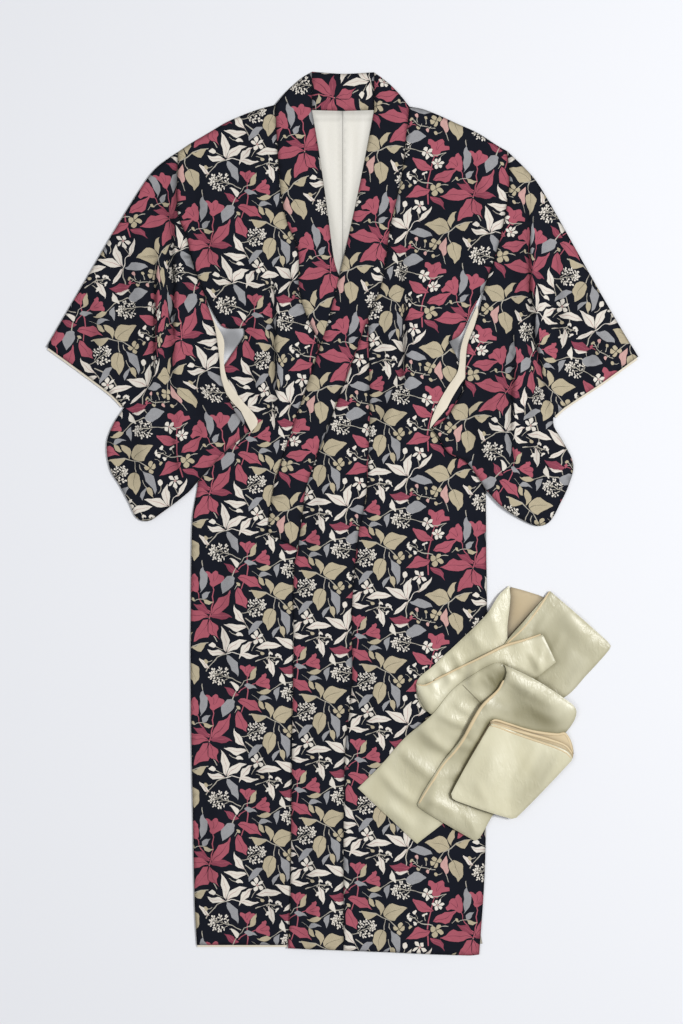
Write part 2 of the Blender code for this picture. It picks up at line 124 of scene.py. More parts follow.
def closedCurve(corners):
    return curveThrough([*corners, corners[0]])[:-1]


def turnedWay(points, angle, mirrored=False, scale=1.0, at=(0.0, 0.0)):
    # the points mirrored, turned by degrees, scaled and moved
    points = np.array(points, float).reshape(-1, 2) * scale
    if mirrored:
        points = points * (-1, 1)
    c, s = math.cos(math.radians(angle)), math.sin(math.radians(angle))
    return points @ np.array([[c, s], [-s, c]]) + at


def signedArea(outline):
    # above 0 where the outline runs counter-clockwise
    ahead = np.roll(outline, -1, 0)
    return 0.5 * np.sum(outline[:, 0] * ahead[:, 1] - ahead[:, 0] * outline[:, 1])


def isInside(outline, x, y):
    found = np.zeros(np.shape(x), bool)
    for (ax, ay), (bx, by) in zip(outline, np.roll(outline, -1, 0)):
        if ay != by:
            found ^= ((ay > y) != (by > y)) & (x < ax + (y - ay) * (bx - ax) / (by - ay))
    return found


def nearLine(points, x, y, closed=False):
    # distance to a line of points, how far along it (0 to 1) and which side (+1 is its left)
    points = np.asarray(points, float)
    if closed:
        points = np.vstack([points, points[:1]])
    spans = np.linalg.norm(np.diff(points, axis=0), axis=1)
    starts = np.concatenate([[0.0], np.cumsum(spans)])
    best = np.full(np.shape(x), 1e9)
    along, side = np.zeros(np.shape(x)), np.ones(np.shape(x))
    for (ax, ay), (bx, by), span, start in zip(points, points[1:], spans, starts):
        if span < 1e-9:
            continue
        dx, dy = bx - ax, by - ay
        t = np.clip(((x - ax) * dx + (y - ay) * dy) / span**2, 0.0, 1.0)
        away = np.hypot(x - ax - t * dx, y - ay - t * dy)
        nearer = away < best
        best = np.where(nearer, away, best)
        along = np.where(nearer, (start + t * span) / starts[-1], along)
        side = np.where(nearer, np.where(dx * (y - ay) - dy * (x - ax) >= 0, 1.0, -1.0), side)
    return best, along, side


def rimAway(outline, x, y):
    return nearLine(outline, x, y, closed=True)[0]


def awayFrom(outline, x, y):
    # how far a point lies outside an outline, and 0 inside it
    return np.where(isInside(outline, x, y), 0.0, rimAway(outline, x, y))


def insetOutline(outline, distance):
    # moves an outline inwards, so that two pieces on one edge keep their seam gap
    outline = np.asarray(outline, float)
    if signedArea(outline) < 0:
        outline = outline[::-1]
    ahead = np.roll(outline, -1, 0) - outline
    ahead /= np.linalg.norm(ahead, axis=1, keepdims=True)
    behind = np.roll(ahead, 1, 0)
    square = np.c_[-ahead[:, 1], ahead[:, 0]]
    inward = np.c_[-ahead[:, 1] - behind[:, 1], ahead[:, 0] + behind[:, 0]]
    size = np.linalg.norm(inward, axis=1, keepdims=True)
    inward = np.where(size < 1e-6, square, inward / np.maximum(size, 1e-6))
    leastCosine = 0.4  # sharper corners than this are cut short
    return outline + inward * (distance / np.maximum((inward * square).sum(1, keepdims=True), leastCosine))


def boundsOf(outline, margin=4):
    return outline.min(0) - margin, outline.max(0) + margin


def ridgeHeight(rows, x, y):
    # the solids' main folds: x1, y1, x2, y2, height, half width
    total = np.zeros(np.shape(x))
    for x1, y1, x2, y2, height, half in rows:
        away, along, _ = nearLine([(x1, y1), (x2, y2)], x, y)
        total += height * endFade(along, 0.35, 0.5) * hump(away, half)
    return total


def creaseHeight(rows, x, y):
    # finer creases: height, half width on the -X side, half width on the +X side, points from the top down
    total = np.zeros(np.shape(x))
    for height, west, east, *points in rows:
        away, along, side = nearLine(curveThrough(points, 20), x, y)
        total += height * endFade(along, 0.12, 0.7) * hump(away, np.where(side > 0, east, west))
    return total


def heightMap(low, high, heightOf, step=2.5, shadeOf=None):
    # a surface sampled once on an even grid, with its slopes and its shade, which the meshes then read
    xs = np.arange(low[0] - 3 * step, high[0] + 4 * step, step)
    ys = np.arange(low[1] - 3 * step, high[1] + 4 * step, step)
    x, y = np.meshgrid(xs, ys)
    z = heightOf(x, y)
    slopeY, slopeX = np.gradient(z, step)
    shade = shadeOf(x, y) if shadeOf else np.zeros(x.shape)
    return dict(x=xs[0], y=ys[0], step=step, layers=np.stack([z, slopeX, slopeY, shade], -1))


def loweredMap(surface, reach):
    # the lowest height within a reach, for a coarse hidden face that has to stay under the fine shown one
    z, step = surface["layers"][..., 0], surface["step"]
    for axis in (0, 1):
        lowest = z
        for shift in range(1, round(reach / step) + 1):
            for way in (shift, -shift):
                lowest = np.minimum(lowest, np.roll(z, way, axis))
        z = lowest
    slopeY, slopeX = np.gradient(z, step)
    return dict(surface, layers=np.stack([z, slopeX, slopeY, surface["layers"][..., 3]], -1))


def readMap(surface, x, y):
    layers = surface["layers"]
    u = np.clip((x - surface["x"]) / surface["step"], 0, layers.shape[1] - 1.001)
    v = np.clip((y - surface["y"]) / surface["step"], 0, layers.shape[0] - 1.001)
    i, j = u.astype(int), v.astype(int)
    u, v = (u - i)[..., None], (v - j)[..., None]
    low = layers[j, i] * (1 - u) + layers[j, i + 1] * u
    top = layers[j + 1, i] * (1 - u) + layers[j + 1, i + 1] * u
    return low * (1 - v) + top * v


# ---- the print: leaves, flowers and seeds as flat shapes (ink, outline, vein axis) ----

printInks = {
    "ground": "#12151f", "rose": "#a75764", "roseVein": "#66303f", "roseDim": "#85404f", "khaki": "#b5a98e",
    "khakiVein": "#6d6858", "cream": "#ded7cb", "creamVein": "#b3928c", "grey": "#9b9b9d", "blush": "#c99f98",
    "stalk": "#b0aa9c",
}
veinKinds = {"plain": 0.0, "sideVeins": 1.0, "hatched": 2.0, "netted": 3.0}
leafKinds = {
    "rose": {"ink": "rose", "vein": "roseVein", "belly": 0.45, "lobe": 0.17, "veins": "sideVeins", "steps": 11},
    "dim": {"ink": "roseDim", "vein": "rose", "lobe": 0.08, "veins": "netted"},
    "cream": {"ink": "cream", "vein": "creamVein", "belly": 0.46, "veins": "sideVeins", "steps": 9},
    "khaki": {"ink": "khaki", "vein": "khakiVein", "belly": 0.35, "roundness": 0.9, "veins": "sideVeins",
              "veinTo": 0.8, "hook": 0.13, "steps": 11},
    "blush": {"ink": "blush", "vein": "creamVein", "belly": 0.45, "veins": "sideVeins", "steps": 9},
    "grey": {"ink": "grey", "veins": "hatched"},
    "smallCream": {"ink": "cream", "veins": "sideVeins"},
    "smallKhaki": {"ink": "khaki", "veins": "sideVeins"},
}
bellCup = [(0.46, 0.42), (0.28, 0.3), (0.12, 0.2), (0, 0.07), (0, -0.07), (0.12, -0.17), (0.3, -0.22), (0.46, -0.38)]
seedDrop = [(0, 0), (0.35, 0.2), (0.7, 0.3), (0.95, 0.16), (1, 0), (0.95, -0.16), (0.7, -0.3), (0.35, -0.2)]


def stripAlong(points, width, tip):
    # a thin strip that follows a line and narrows to its end
    points = np.array(points, float)
    run = np.gradient(points, axis=0)
    run /= np.linalg.norm(run, axis=1, keepdims=True)
    side = run[:, ::-1] * (-1, 1)
    half = 0.5 * width * np.linspace(1.0, tip, len(points))[:, None]
    return np.vstack([points + side * half, (points - side * half)[::-1]])


def drawStem(start, end, bend, width, ink="stalk", steps=7):
    start, end = np.array(start, float), np.array(end, float)
    t = np.linspace(0, 1, steps)[:, None]
    side = np.array([-(end - start)[1], (end - start)[0]])
    return [(ink, stripAlong(start + (end - start) * t + side * bend * 4 * t * (1 - t), width, 0.7), None)]


def drawLeaf(base, angle, length, width, bend, ink, vein=None, belly=0.42, lobe=0.0, roundness=1.15, veins="plain",
             steps=8, halo=0.0, veinTo=0.86, hook=0.05):
    # a pointed leaf on a bowed middle line that hooks at its tip; its midrib is a strip of its own
    t = 0.5 - 0.5 * np.cos(np.linspace(0, math.pi, steps + 1))
    half = 0.5 * width * np.sin(math.pi * t ** (math.log(0.5) / math.log(belly))).clip(0) ** roundness
    top = half * (1 + lobe * np.sin(11.0 * t + 0.6))
    low = half * (1 + lobe * np.sin(9.5 * t + 2.9))

    def middle(s):
        return length * (bend * 4 * s * (1 - s) - math.copysign(hook, bend) * s**4)

    shapes = []
    if halo:  # a line of bare ground, where the leaf lies over another
        long = t * (length + 2 * halo) - halo
        around = np.vstack([np.c_[long, middle(t) + top + halo], np.c_[long, middle(t) - low - halo][::-1]])
        shapes.append(("ground", turnedWay(around, angle, at=base), None))
    outline = np.vstack([np.c_[t * length, middle(t) + top], np.c_[t * length, middle(t) - low][-2:0:-1]])
    axis = (*turnedWay([(0, 0), (length, 0)], angle, at=base), width, veinKinds[veins])
    shapes.append((ink, turnedWay(outline, angle, at=base), axis))
    if vein:
        s = np.linspace(0.03, veinTo, 6)
        shapes.append((vein, turnedWay(stripAlong(np.c_[s * length, middle(s)], 1.1, 0.35), angle, at=base), None))
    return shapes


def drawBell(base, angle, size, spread=44):
    # a bell flower seen from its side: narrow at the stalk, with a waved rim and two petal lines
    s = np.linspace(-1, 1, 17)
    reach = size * (0.86 + 0.08 * np.cos(2.6 * math.pi * s + 0.5) - 0.05 * s**2)
    turn = np.radians(spread) * s
    outline = np.vstack([np.c_[reach * np.cos(turn), reach * np.sin(turn)], np.array(bellCup) * size])
    axis = (*turnedWay([(0, 0), (size, 0)], angle, at=base), size, veinKinds["plain"])
    shapes = [("rose", turnedWay(outline, angle, at=base), axis)]
    t = np.linspace(0.3, 0.8, 5)
    for lean in (-0.28, 0.22):
        line = np.c_[t * size, lean * size * t**1.6]
        shapes.append(("roseVein", turnedWay(stripAlong(line, 1.0, 0.4), angle, at=base), None))
    return shapes


def drawPetals(centre, count, length, width, ink, turn, roundness=0.8):
    shapes = []
    for angle in turn + 360.0 / count * np.arange(count):
        start = turnedWay([(0.12 * length, 0)], angle, at=centre)[0]
        shapes += drawLeaf(start, angle, length * 0.88, width, 0.0, ink, belly=0.6, hook=0.0, roundness=roundness,
                           steps=5)
    return shapes + drawBerry(centre, 0.34 * length, ink + "Vein")


def drawBerry(centre, size, ink):
    turn = np.linspace(0, 2 * math.pi, 10)[:-1]
    return [(ink, 0.5 * size * np.c_[np.cos(turn), 0.92 * np.sin(turn)] + centre, None)]


def drawForks(forks, bend, width, seeds=(), berry=()):
    # short forks off a stalk, with a berry or seeds at each tip: x, y, turn, reach and a berry's size and ink;
    # a seed has its lean off the fork, how far back it sits, and its length
    shapes = []
    for x, y, turn, reach, *own in forks:
        tip = turnedWay([(reach, 0)], turn, at=(x, y))[0]
        shapes += drawStem((x, y), tip, bend, width, steps=4)
        if own or berry:
            shapes += drawBerry(tip, *(own or berry))
        for lean, back, size in seeds:
            at = tip + (np.array((x, y)) - tip) * back
            shapes.append(("cream", turnedWay(seedDrop, turn + lean, scale=size, at=at), None))
    return shapes


# Each motif is drawn row by row. A leaf has x, y, turn, length, width and bend; a stem has its ends, bend and width.
motifRows = {
    "roseSpray": [  # two bell flowers over a fan of broad, waved leaves
        ("stem", (0, 0), (4, 66), 0.05, 2.6, "rose"), ("stem", (1, 12), (34, 52), -0.1, 2.2, "rose"),
        ("stem", (0, 0), (-22, -46), 0.08, 2.2), ("dim", -1, 3, 172, 44, 16, -0.05), ("dim", 2, 8, 22, 38, 14, 0.06),
        ("rose", -2, 6, 122, 63, 23, 0.05), ("rose", 2, 2, -9, 66, 24, 0.04),
        ("rose", 0, -2, -66, 57, 26, -0.05, {"halo": 1.2}), ("rose", -2, -2, -118, 44, 19, 0.06, {"halo": 1.2}),
        ("bell", (4, 62), 98, 36), ("bell", (32, 50), 40, 37),
    ],
    "roseBranch": [  # a long bough with one flower and three leaves
        ("stem", (0, -50), (3, 56), 0.06, 2.6, "rose"), ("rose", 1, 22, 158, 48, 20, 0.07),
        ("rose", 4, 2, 28, 52, 21, -0.06), ("rose", 2, -20, 200, 52, 22, -0.06, {"halo": 1.2}),
        ("dim", 2, -34, -30, 40, 13, 0.08), ("bell", (3, 50), 80, 38, 50),
    ],
    "roseBough": [  # two leaves and two flowers on one side of a bowed stalk
        ("stem", (-6, -46), (-2, 48), -0.1, 2.4, "rose"), ("stem", (-12, 8), (22, 34), 0.12, 2.0, "rose"),
        ("rose", -12, -6, -14, 54, 20, 0.05), ("rose", -9, -26, -58, 50, 21, -0.06, {"halo": 1.2}),
        ("dim", -12, 4, 160, 34, 13, 0.06), ("bell", (-2, 44), 96, 27), ("bell", (20, 32), 30, 31),
    ],
    "creamStar": [  # lance-shaped leaves about one point, with one of them in grey
        ("stem", (0, 0), (-30, -44), -0.08, 2.0), ("stem", (0, 0), (34, 5), 0.05, 1.6, "cream"),
        ("grey", 1, -2, -46, 50, 17, 0.05, {"belly": 0.5}), ("cream", 28, 4, 6, 40, 9.5, -0.03),
        ("cream", -2, 0, 186, 37, 12, 0.06), ("cream", 0, 3, 112, 52, 15.5, -0.05),
        ("cream", 2, 2, 48, 47, 16, 0.07), ("cream", -24, -36, 150, 30, 9, 0.1),
    ],
    "creamBranch": [  # a drooping twig with paired slender leaves
        ("stem", (0, 46), (6, -52), 0.12, 2.0), ("grey", -9, 12, 20, 44, 14, 0.08),
        ("cream", -7, 28, 148, 46, 15, 0.08), ("cream", -9, -4, 205, 44, 14, -0.09),
        ("cream", -6, -18, -22, 50, 15, 0.06), ("cream", 5, -48, -100, 38, 12.5, 0.05),
    ],
    "khakiSprig": [  # heart-shaped leaves on a curved twig, with a small flower
        ("stem", (-46, -8), (46, 6), 0.12, 2.0), ("stem", (4, 10), (18, -28), 0.1, 1.8),
        ("khaki", 2, 12, 64, 48, 33, 0.05), ("khaki", 14, -12, -72, 44, 28, -0.04, {"halo": 1.2}),
        ("smallKhaki", -6, 12, 148, 34, 14, -0.16, {"belly": 0.5}),
        ("smallKhaki", -12, 8, 206, 34, 14, 0.14, {"belly": 0.5}), ("petals", (40, 10), 4, 12, 9.5, "khaki", 30, 0.5),
    ],
    "hatchedSprig": [  # a round-bellied grey leaf hatched along its length, with a few narrow ones
        ("stem", (-8, -4), (52, 14), -0.1, 2.0), ("grey", 0, 0, 200, 40, 24, 0.05, {"roundness": 0.8, "steps": 10}),
        ("smallCream", 20, 2, -60, 26, 10, 0.12), ("grey", 34, 8, 80, 28, 11, -0.1),
        ("smallKhaki", 50, 14, 10, 30, 11, 0.1),
    ],
    "seedHead": [  # a loose head of pale seeds on forked stalks
        ("stem", (0, -34), (0, 22), 0.05, 1.8),
        ("forks", [(-1, -6, 148, 15), (0, -4, 34, 17), (-1, 4, 138, 17), (1, 6, 42, 16), (0, 14, 118, 13),
                   (1, 15, 62, 14), (0, 20, 90, 9)], 0.08, 1.3,
         [(0, 0.0, 6.2), (52, 0.12, 5.6), (-50, 0.2, 5.6), (64, 0.5, 5.0), (-62, 0.56, 5.0)]),
    ],
    "seedTwig": [
        ("stem", (0, -26), (4, 20), -0.08, 1.8),
        ("forks", [(0, -8, 150, 12), (1, -2, 30, 14), (2, 8, 130, 12), (3, 12, 50, 11), (4, 20, 92, 6)], 0.1, 1.4,
         [(70, 0.0, 6.5)], (7.0, "cream")),
    ],
    "berryTwig": [
        ("stem", (0, -24), (-2, 22), 0.1, 1.7),
        ("forks", [(-2, 4, 150, 13, 8, "khaki"), (-2, -4, 24, 14, 7.5, "khaki"), (-1, 14, 40, 12, 8, "blush"),
                   (-2, 18, 132, 10, 7, "rose"), (-2, 22, 88, 7, 8, "khaki"), (-1, -14, 160, 11, 7, "blush")],
         0.1, 1.4),
    ],
    "creamBlossom": [
        ("stem", (0, 0), (16, -24), 0.12, 1.6, "stalk", 5), ("petals", (0, 0), 5, 14.5, 8.4, "cream", 18),
    ],
    "blossomPair": [
        ("stem", (-12, 8), (10, -20), 0.14, 1.6, "stalk", 5), ("stem", (16, 4), (10, -20), -0.1, 1.6, "stalk", 5),
        ("petals", (-12, 9), 5, 13, 7.8, "cream", 50), ("petals", (17, 6), 6, 12, 6.4, "cream", 10),
    ],
    "khakiFlower": [
        ("stem", (0, 0), (-14, -22), 0.12, 1.6, "stalk", 5), ("petals", (0, 0), 4, 14, 11.5, "khaki", 12, 0.5),
    ],
    "greyLeaf": [
        ("stem", (0, 0), (-13, -5), 0.1, 1.7, "stalk", 4),
        ("grey", 0, 0, 20, 54, 17, 0.07, {"belly": 0.45, "steps": 9}),
    ],
    "roseLeaf": [("dim", 0, 0, 12, 42, 17, 0.06), ("stem", (0, 0), (-12, -4), 0.1, 1.8, "rose", 4)],
    "blushLeaf": [("stem", (0, 0), (-13, -5), 0.1, 1.7, "stalk", 4), ("blush", 0, 0, 14, 40, 15, 0.07)],
    "creamLeaf": [
        ("stem", (0, 0), (-13, -5), 0.1, 1.7, "stalk", 4), ("cream", 0, 0, 14, 44, 13, -0.08, {"belly": 0.45}),
    ],
    "smallPair": [
        ("stem", (0, 0), (-14, -8), 0.1, 1.4, "stalk", 4), ("smallKhaki", 0, 0, 50, 24, 9, 0.08),
        ("grey", 0, 0, -12, 26, 9, -0.08),
    ],
    "paleBud": [
        ("stem", (0, 0), (-9, -12), 0.12, 1.4, "stalk", 4),
        ("smallCream", 0, 0, 60, 15, 9, 0.06, {"belly": 0.5, "roundness": 0.7, "veins": "plain", "steps": 5}),
    ],
    "loneBerry": [("stem", (0, 0), (-8, -9), 0.12, 1.3, "stalk", 4), ("berry", (1, 1), 8, "khaki")],
}
drawers = {"stem": drawStem, "bell": drawBell, "petals": drawPetals, "berry": drawBerry, "forks": drawForks}

# One repeat of the print, from the lowest shape up: x, y, turn in degrees, mirrored
printRepeat = {
    "width": 276, "height": 222, "scale": 0.89,
    "rows": {
        "roseSpray": [(195, 197, -9, True)], "roseBough": [(257, 52, -10, False)],
        "khakiSprig": [(159, 130, 43, True), (28, 6, -35, False)],
        "creamStar": [(77, 136, 36, False), (224, 133, -13, False)],
        "roseBranch": [(119, 5, -7, False)], "creamBranch": [(2, 160, 26, False)],
        "seedHead": [(78, 60, 81, True), (223, 89, 72, True), (268, 212, -71, True)],
        "hatchedSprig": [(75, 77, 177, False), (239, 48, -110, True)],
        "greyLeaf": [(182, 66, -112, False), (47, 213, -93, False)],
        "seedTwig": [(101, 9, 63, True), (24, 120, -85, True)], "berryTwig": [(108, 107, 70, False)],
        "blossomPair": [(126, 51, 130, True)], "creamBlossom": [(98, 180, 35, True), (5, 161, -62, False)],
        "khakiFlower": [(129, 211, 143, False)], "roseLeaf": [(82, 103, 164, False)],
        "blushLeaf": [(147, 89, 80, False)], "creamLeaf": [(259, 187, -43, True)],
        "smallPair": [(45, 181, -114, False), (182, 7, -145, True), (7, 50, 175, True)],
        "paleBud": [(242, 168, -75, False), (71, 177, 10, False), (207, 144, 35, True)],
        "loneBerry": [(128, 91, 55, True), (246, 35, -78, True), (81, 219, -176, True), (12, 134, -145, True),
                      (189, 118, 70, True), (165, 8, -96, True)],
    },
}


def drawMotif(rows):
    shapes = []
    for kind, *values in rows:
        own = values.pop() if isinstance(values[-1], dict) else {}
        if kind in leafKinds:
            x, y, *sizes = values
            shapes += drawLeaf((x, y), *sizes, **{**leafKinds[kind], **own})
        else:
            shapes += drawers[kind](*values)
    return shapes


def handDrawn(points):
    # the lines of the print waver a little, as brush strokes do; no leaf is quite like its twin
    broad, fine, sway = 1.2, 0.45, 1.4  # how far the two waves go, in mm, and how much the broad one's turns wander
    x, y = points.T
    return np.c_[x + broad * np.sin(0.29 * y + sway * np.sin(0.12 * x)) + fine * np.sin(0.85 * y + 0.5 * x),
                 y + broad * np.sin(0.27 * x + sway * np.sin(0.13 * y) + 2.0) + fine * np.sin(0.8 * x - 0.6 * y)]


def drawRepeat():
    shapes, scale = [], printRepeat["scale"]
    for name, places in printRepeat["rows"].items():
        for x, y, angle, mirrored in places:
            place = dict(angle=angle, mirrored=mirrored, scale=scale, at=(x, y))
            for ink, shape, axis in drawMotif(motifRows[name]):
                if axis is not None:
                    axis = (*turnedWay(axis[:2], **place), axis[2] * scale, axis[3])
                shapes.append((ink, handDrawn(turnedWay(shape, **place)), axis))
    return shapes


repeatShapes = drawRepeat()
repeatMiddles = np.array([shape.mean(0) for _, shape, _ in repeatShapes])


def tuckIn(tucks, points):
    # cloth that a deep groove swallows: x and y of its top and of its foot, and the width that goes in
    moved = points.copy()
    fadeReach, spread = 30, 1.3  # how softly it ends, and how wide the cloth beside it is drawn in
    x, y = points.T
    for x1, y1, x2, y2, hidden in tucks:
        middle = x1 + (x2 - x1) * np.clip((y - y1) / (y2 - y1), -0.2, 1.2)
        fade = smoothStep(y1 + fadeReach, y1 - fadeReach, y) * smoothStep(y2 - fadeReach, y2 + fadeReach, y)
        moved[:, 0] -= hidden * fade * (smoothStep(-spread * hidden, spread * hidden, x - middle) - 0.5)
    return moved


def printOn(outline, lay):
    # the motifs that fall on a panel; lay says how the cloth was cut: its turn, its shift and the tucks
    largest, margin = 140, 60  # how far a motif and a shape of it can reach
    low, high = outline.min(0), outline.max(0)
    size = np.array((printRepeat["width"], printRepeat["height"]))
    anchor, shift = (np.array(lay.get(key, (0, 0)), float) for key in ("anchor", "shift"))
    turn = lay.get("turn", 0)
    corners = [(x, y) for x in (low[0], high[0]) for y in (low[1], high[1])]
    corners = turnedWay(corners - anchor, -turn) + anchor - shift
    first = np.floor((corners.min(0) - largest) / size).astype(int)
    last = np.ceil((corners.max(0) + largest) / size).astype(int)
    found = []
    for i in range(first[0], last[0] + 1):
        for j in range(first[1], last[1] + 1):
            moved = shift + size * (i, j) - anchor
            middles = turnedWay(repeatMiddles + moved, turn, at=anchor)
            for k in np.flatnonzero(((middles > low - margin) & (middles < high + margin)).all(1)):
                ink, shape, axis = repeatShapes[k]
                shape = tuckIn(lay.get("tucks", []), turnedWay(shape + moved, turn, at=anchor))
                if (shape.max(0) < low).any() or (shape.min(0) > high).any():
                    continue
                if axis is not None:
                    axis = (*turnedWay(np.array(axis[:2]) + moved, turn, at=anchor), *axis[2:])
                # the triangulation takes a clockwise shape for its outside
                found.append((ink, shape if signedArea(shape) >= 0 else shape[::-1], axis))
    return found


# ---- the cloths as materials ----


def clothMaterial(name, roughness, sheen, sheenRoughness, specular):
    # every cloth here is a dielectric: IOR 1.5, never metallic
    material = bpy.data.materials.new(name)
    material.use_nodes = True
    tree = material.node_tree
    shader = tree.nodes["Principled BSDF"]
    for socket, value in (("Roughness", roughness), ("Sheen Weight", sheen), ("Sheen Roughness", sheenRoughness),
                          ("Specular IOR Level", specular), ("IOR", 1.5), ("Metallic", 0.0)):
        shader.inputs[socket].default_value = value
    return material, tree, shader


def feedShader(tree, shader, colour, bump=None):
    tree.links.new(colour[0].outputs[colour[1]], shader.inputs["Base Color"])
    if bump:
        tree.links.new(bump.outputs["Normal"], shader.inputs["Normal"])


def cloudedColour(tree, place, light, dark, scale, deep="#000000"):
    # two close tones of the cloth in soft clouds, going over to the deep colour as painted shade down in its folds,
    # as far as the shade attribute says
    cloud = addNode(tree, "ShaderNodeTexNoise", [("Vector", *place)], Scale=scale, Detail=4.0)
    shade = addNode(tree, "ShaderNodeAttribute", attribute_name="shade")
    tones = addNode(tree, "ShaderNodeMix", [("Factor", cloud, "Fac"), (6, rgba(dark)), (7, rgba(light))],
                    data_type="RGBA")
    return addNode(tree, "ShaderNodeMix", [("Factor", shade, "Fac"), (6, tones, 2), (7, rgba(deep))],
                   data_type="RGBA", clamp_factor=False), 2


def addWeave(tree, place, size, strength, distance):
    # crossed threads as a fine bump; size is the thread spacing in metres
    bandsPerMetre = 3.18  # of a wave texture at scale 1
    threads = [(addNode(tree, "ShaderNodeTexWave", [("Vector", *place)], wave_type="BANDS", bands_direction=way,
                        wave_profile="SIN", Scale=1 / size / bandsPerMetre, Distortion=1.2, Detail=1.0,
                        Detail_Scale=2.0), "Fac") for way in "XY"]
    return addNode(tree, "ShaderNodeBump", [("Height", *addMath(tree, "ADD", *threads))], Strength=strength,
                   Distance=distance)


# Silk crepe, screen-printed: tightly twisted threads give a matt, slightly pebbled face with hardly any glint,
# so the print stays even from all sides. The inks lie in the mesh; the veins are drawn within each leaf.
crepe = {
    "roughness": 0.85, "sheen": 0.02, "sheenRoughness": 0.5, "specular": 0.12,
    "grain": 0.0022,  # crepe pebbles are about 0.4 mm; drawn at 2.2 mm, so that they show
    "grainStrength": 0.16, "grainDepth": 0.0006, "mottle": 0.14,
    # each kind of vein: how far its lines slant along and across the leaf, how many, how wide and how deep
    "veins": {"sideVeins": (1.0, -0.5, 8.0, 0.22, 0.24), "hatched": (0.12, 1.0, 9.0, 0.42, 0.42),
              "netted": (1.0, -0.7, 7.0, 0.35, -0.35)},
}


def makePrintedCrepe():
    material, tree, shader = clothMaterial("printedSilkCrepe", crepe["roughness"], crepe["sheen"],
                                           crepe["sheenRoughness"], crepe["specular"])
    place = addNode(tree, "ShaderNodeTexCoord"), "Object"
    ink, vein, shade = (addNode(tree, "ShaderNodeAttribute", attribute_name=name)
                        for name in ("ink", "vein", "shade"))
    parts = addNode(tree, "ShaderNodeSeparateXYZ", [("Vector", vein, "Vector")])
    across = addMath(tree, "ABSOLUTE", (parts, "Y"))

    def lines(kind, along, off, count, width, depth):
        # oblique lines over the leaf, dark on a line and 0 between, where the leaf's kind of vein is this one
        slant = addMath(tree, "MULTIPLY_ADD", across, off, addMath(tree, "MULTIPLY", (parts, "X"), along))
        part = addMath(tree, "FRACT", addMath(tree, "MULTIPLY", slant, count))
        line = addNode(tree, "ShaderNodeMapRange", [("Value", *part)], From_Min=width, From_Max=0.0,
                       interpolation_type="SMOOTHSTEP"), 0
        match = addMath(tree, "COMPARE", (parts, "Z"), veinKinds[kind], 0.4)
        return addMath(tree, "MULTIPLY", addMath(tree, "MULTIPLY", match, line), depth)

    side, hatch, net = (lines(kind, *own) for kind, own in crepe["veins"].items())
    dark = addMath(tree, "ADD", addMath(tree, "ADD", side, hatch), net)
    cloud = addNode(tree, "ShaderNodeTexNoise", [("Vector", *place)], Scale=160.0, Detail=3.0, Roughness=0.6)
    uneven = addNode(tree, "ShaderNodeMapRange", [("Value", cloud, "Fac")], To_Min=1 - crepe["mottle"],
                     To_Max=1 + crepe["mottle"]), 0
    light = addMath(tree, "MULTIPLY", addMath(tree, "SUBTRACT", 1.0, dark), uneven)
    # painted shade: 1 in the open and less down in a fold, where the real cloth doubles under and a shell can't
    # follow it
    light = addMath(tree, "MULTIPLY", light, addMath(tree, "SUBTRACT", 1.0, (shade, "Fac")))
    colour = addNode(tree, "ShaderNodeVectorMath", [(0, ink, "Vector"), ("Scale", *light)], operation="SCALE")
    grain = addNode(tree, "ShaderNodeTexNoise", [("Vector", *place)], Scale=1 / crepe["grain"], Detail=2.0)
    feedShader(tree, shader, (colour, "Vector"), addNode(
        tree, "ShaderNodeBump", [("Height", grain, "Fac")], Strength=crepe["grainStrength"],
        Distance=crepe["grainDepth"]))
    return material


# Plain-woven lining silk: flat and smooth, a little lustrous, with soft pressed lines along the warp.
liningCloth = {
    "colour": "#eae7df", "shade": "#dcd8cc", "roughness": 0.55, "sheen": 0.15,
    "clouds": 1.0, "stretch": (70.0, 9.0, 9.0),
    "thread": 0.0024,  # threads are 0.12 mm apart; drawn at 2.4 mm, so that they show
    "weave": 0.08, "weaveDepth": 0.0004,
}
hemCloth = {**liningCloth, "colour": "#e3dac7", "shade": "#d0c5b0"}


def makePlainSilk(name, cloth):
    material, tree, shader = clothMaterial(name, cloth["roughness"], cloth["sheen"], 0.4, specular=0.35)
    place = drawn = addNode(tree, "ShaderNodeTexCoord"), "Object"
    if "stretch" in cloth:
        drawn = addNode(tree, "ShaderNodeMapping", [("Vector", *place), ("Scale", cloth["stretch"])]), "Vector"
    feedShader(tree, shader, cloudedColour(tree, drawn, cloth["colour"], cloth["shade"], cloth["clouds"]),
               addWeave(tree, place, cloth["thread"], cloth["weave"], cloth["weaveDepth"]))
    return material


printedCrepe = makePrintedCrepe()
liningSilk = makePlainSilk("liningSilk", liningCloth)
hemSilk = makePlainSilk("hemSilk", hemCloth)
print("materials ready")

# ---- shells ----

shell = {
    # rows of points along the edge, which carry its rounding: how far in, and one in how many; not on a coarse face
    "rimRows": ((1.4, 1), (3.6, 2)), "rimFree": 0.8, "coarse": 14,
    "netFree": 0.55,  # how far the even net stays away from the edge, in cells
    "bandHeight": 95.0, "bandFree": 0.4, "border": 5,
    "joinLine": 1e-3, "joinAway": 2e-3,  # points this near a line between bands, and this near each other, are one
    "underWear": ((0.15, 2.0),),  # the face that isn't shown is rounded less: depth, reach
    "underReach": 0.6,  # how far that face looks for the lowest height, in its cells
    "shadeReach": 2.8, "shadeRange": (-0.15, 0.85),
}


def topShape(own, over, shapes, at):
    # the last drawn of the shapes over a triangle, counted from 1, and 0 for bare cloth
    for k in sorted((own[k] for k in over), reverse=True):
        shape = shapes[k][1]
        if (shape.min(0) <= at).all() and (shape.max(0) >= at).all():
            return k + 1
    return 0


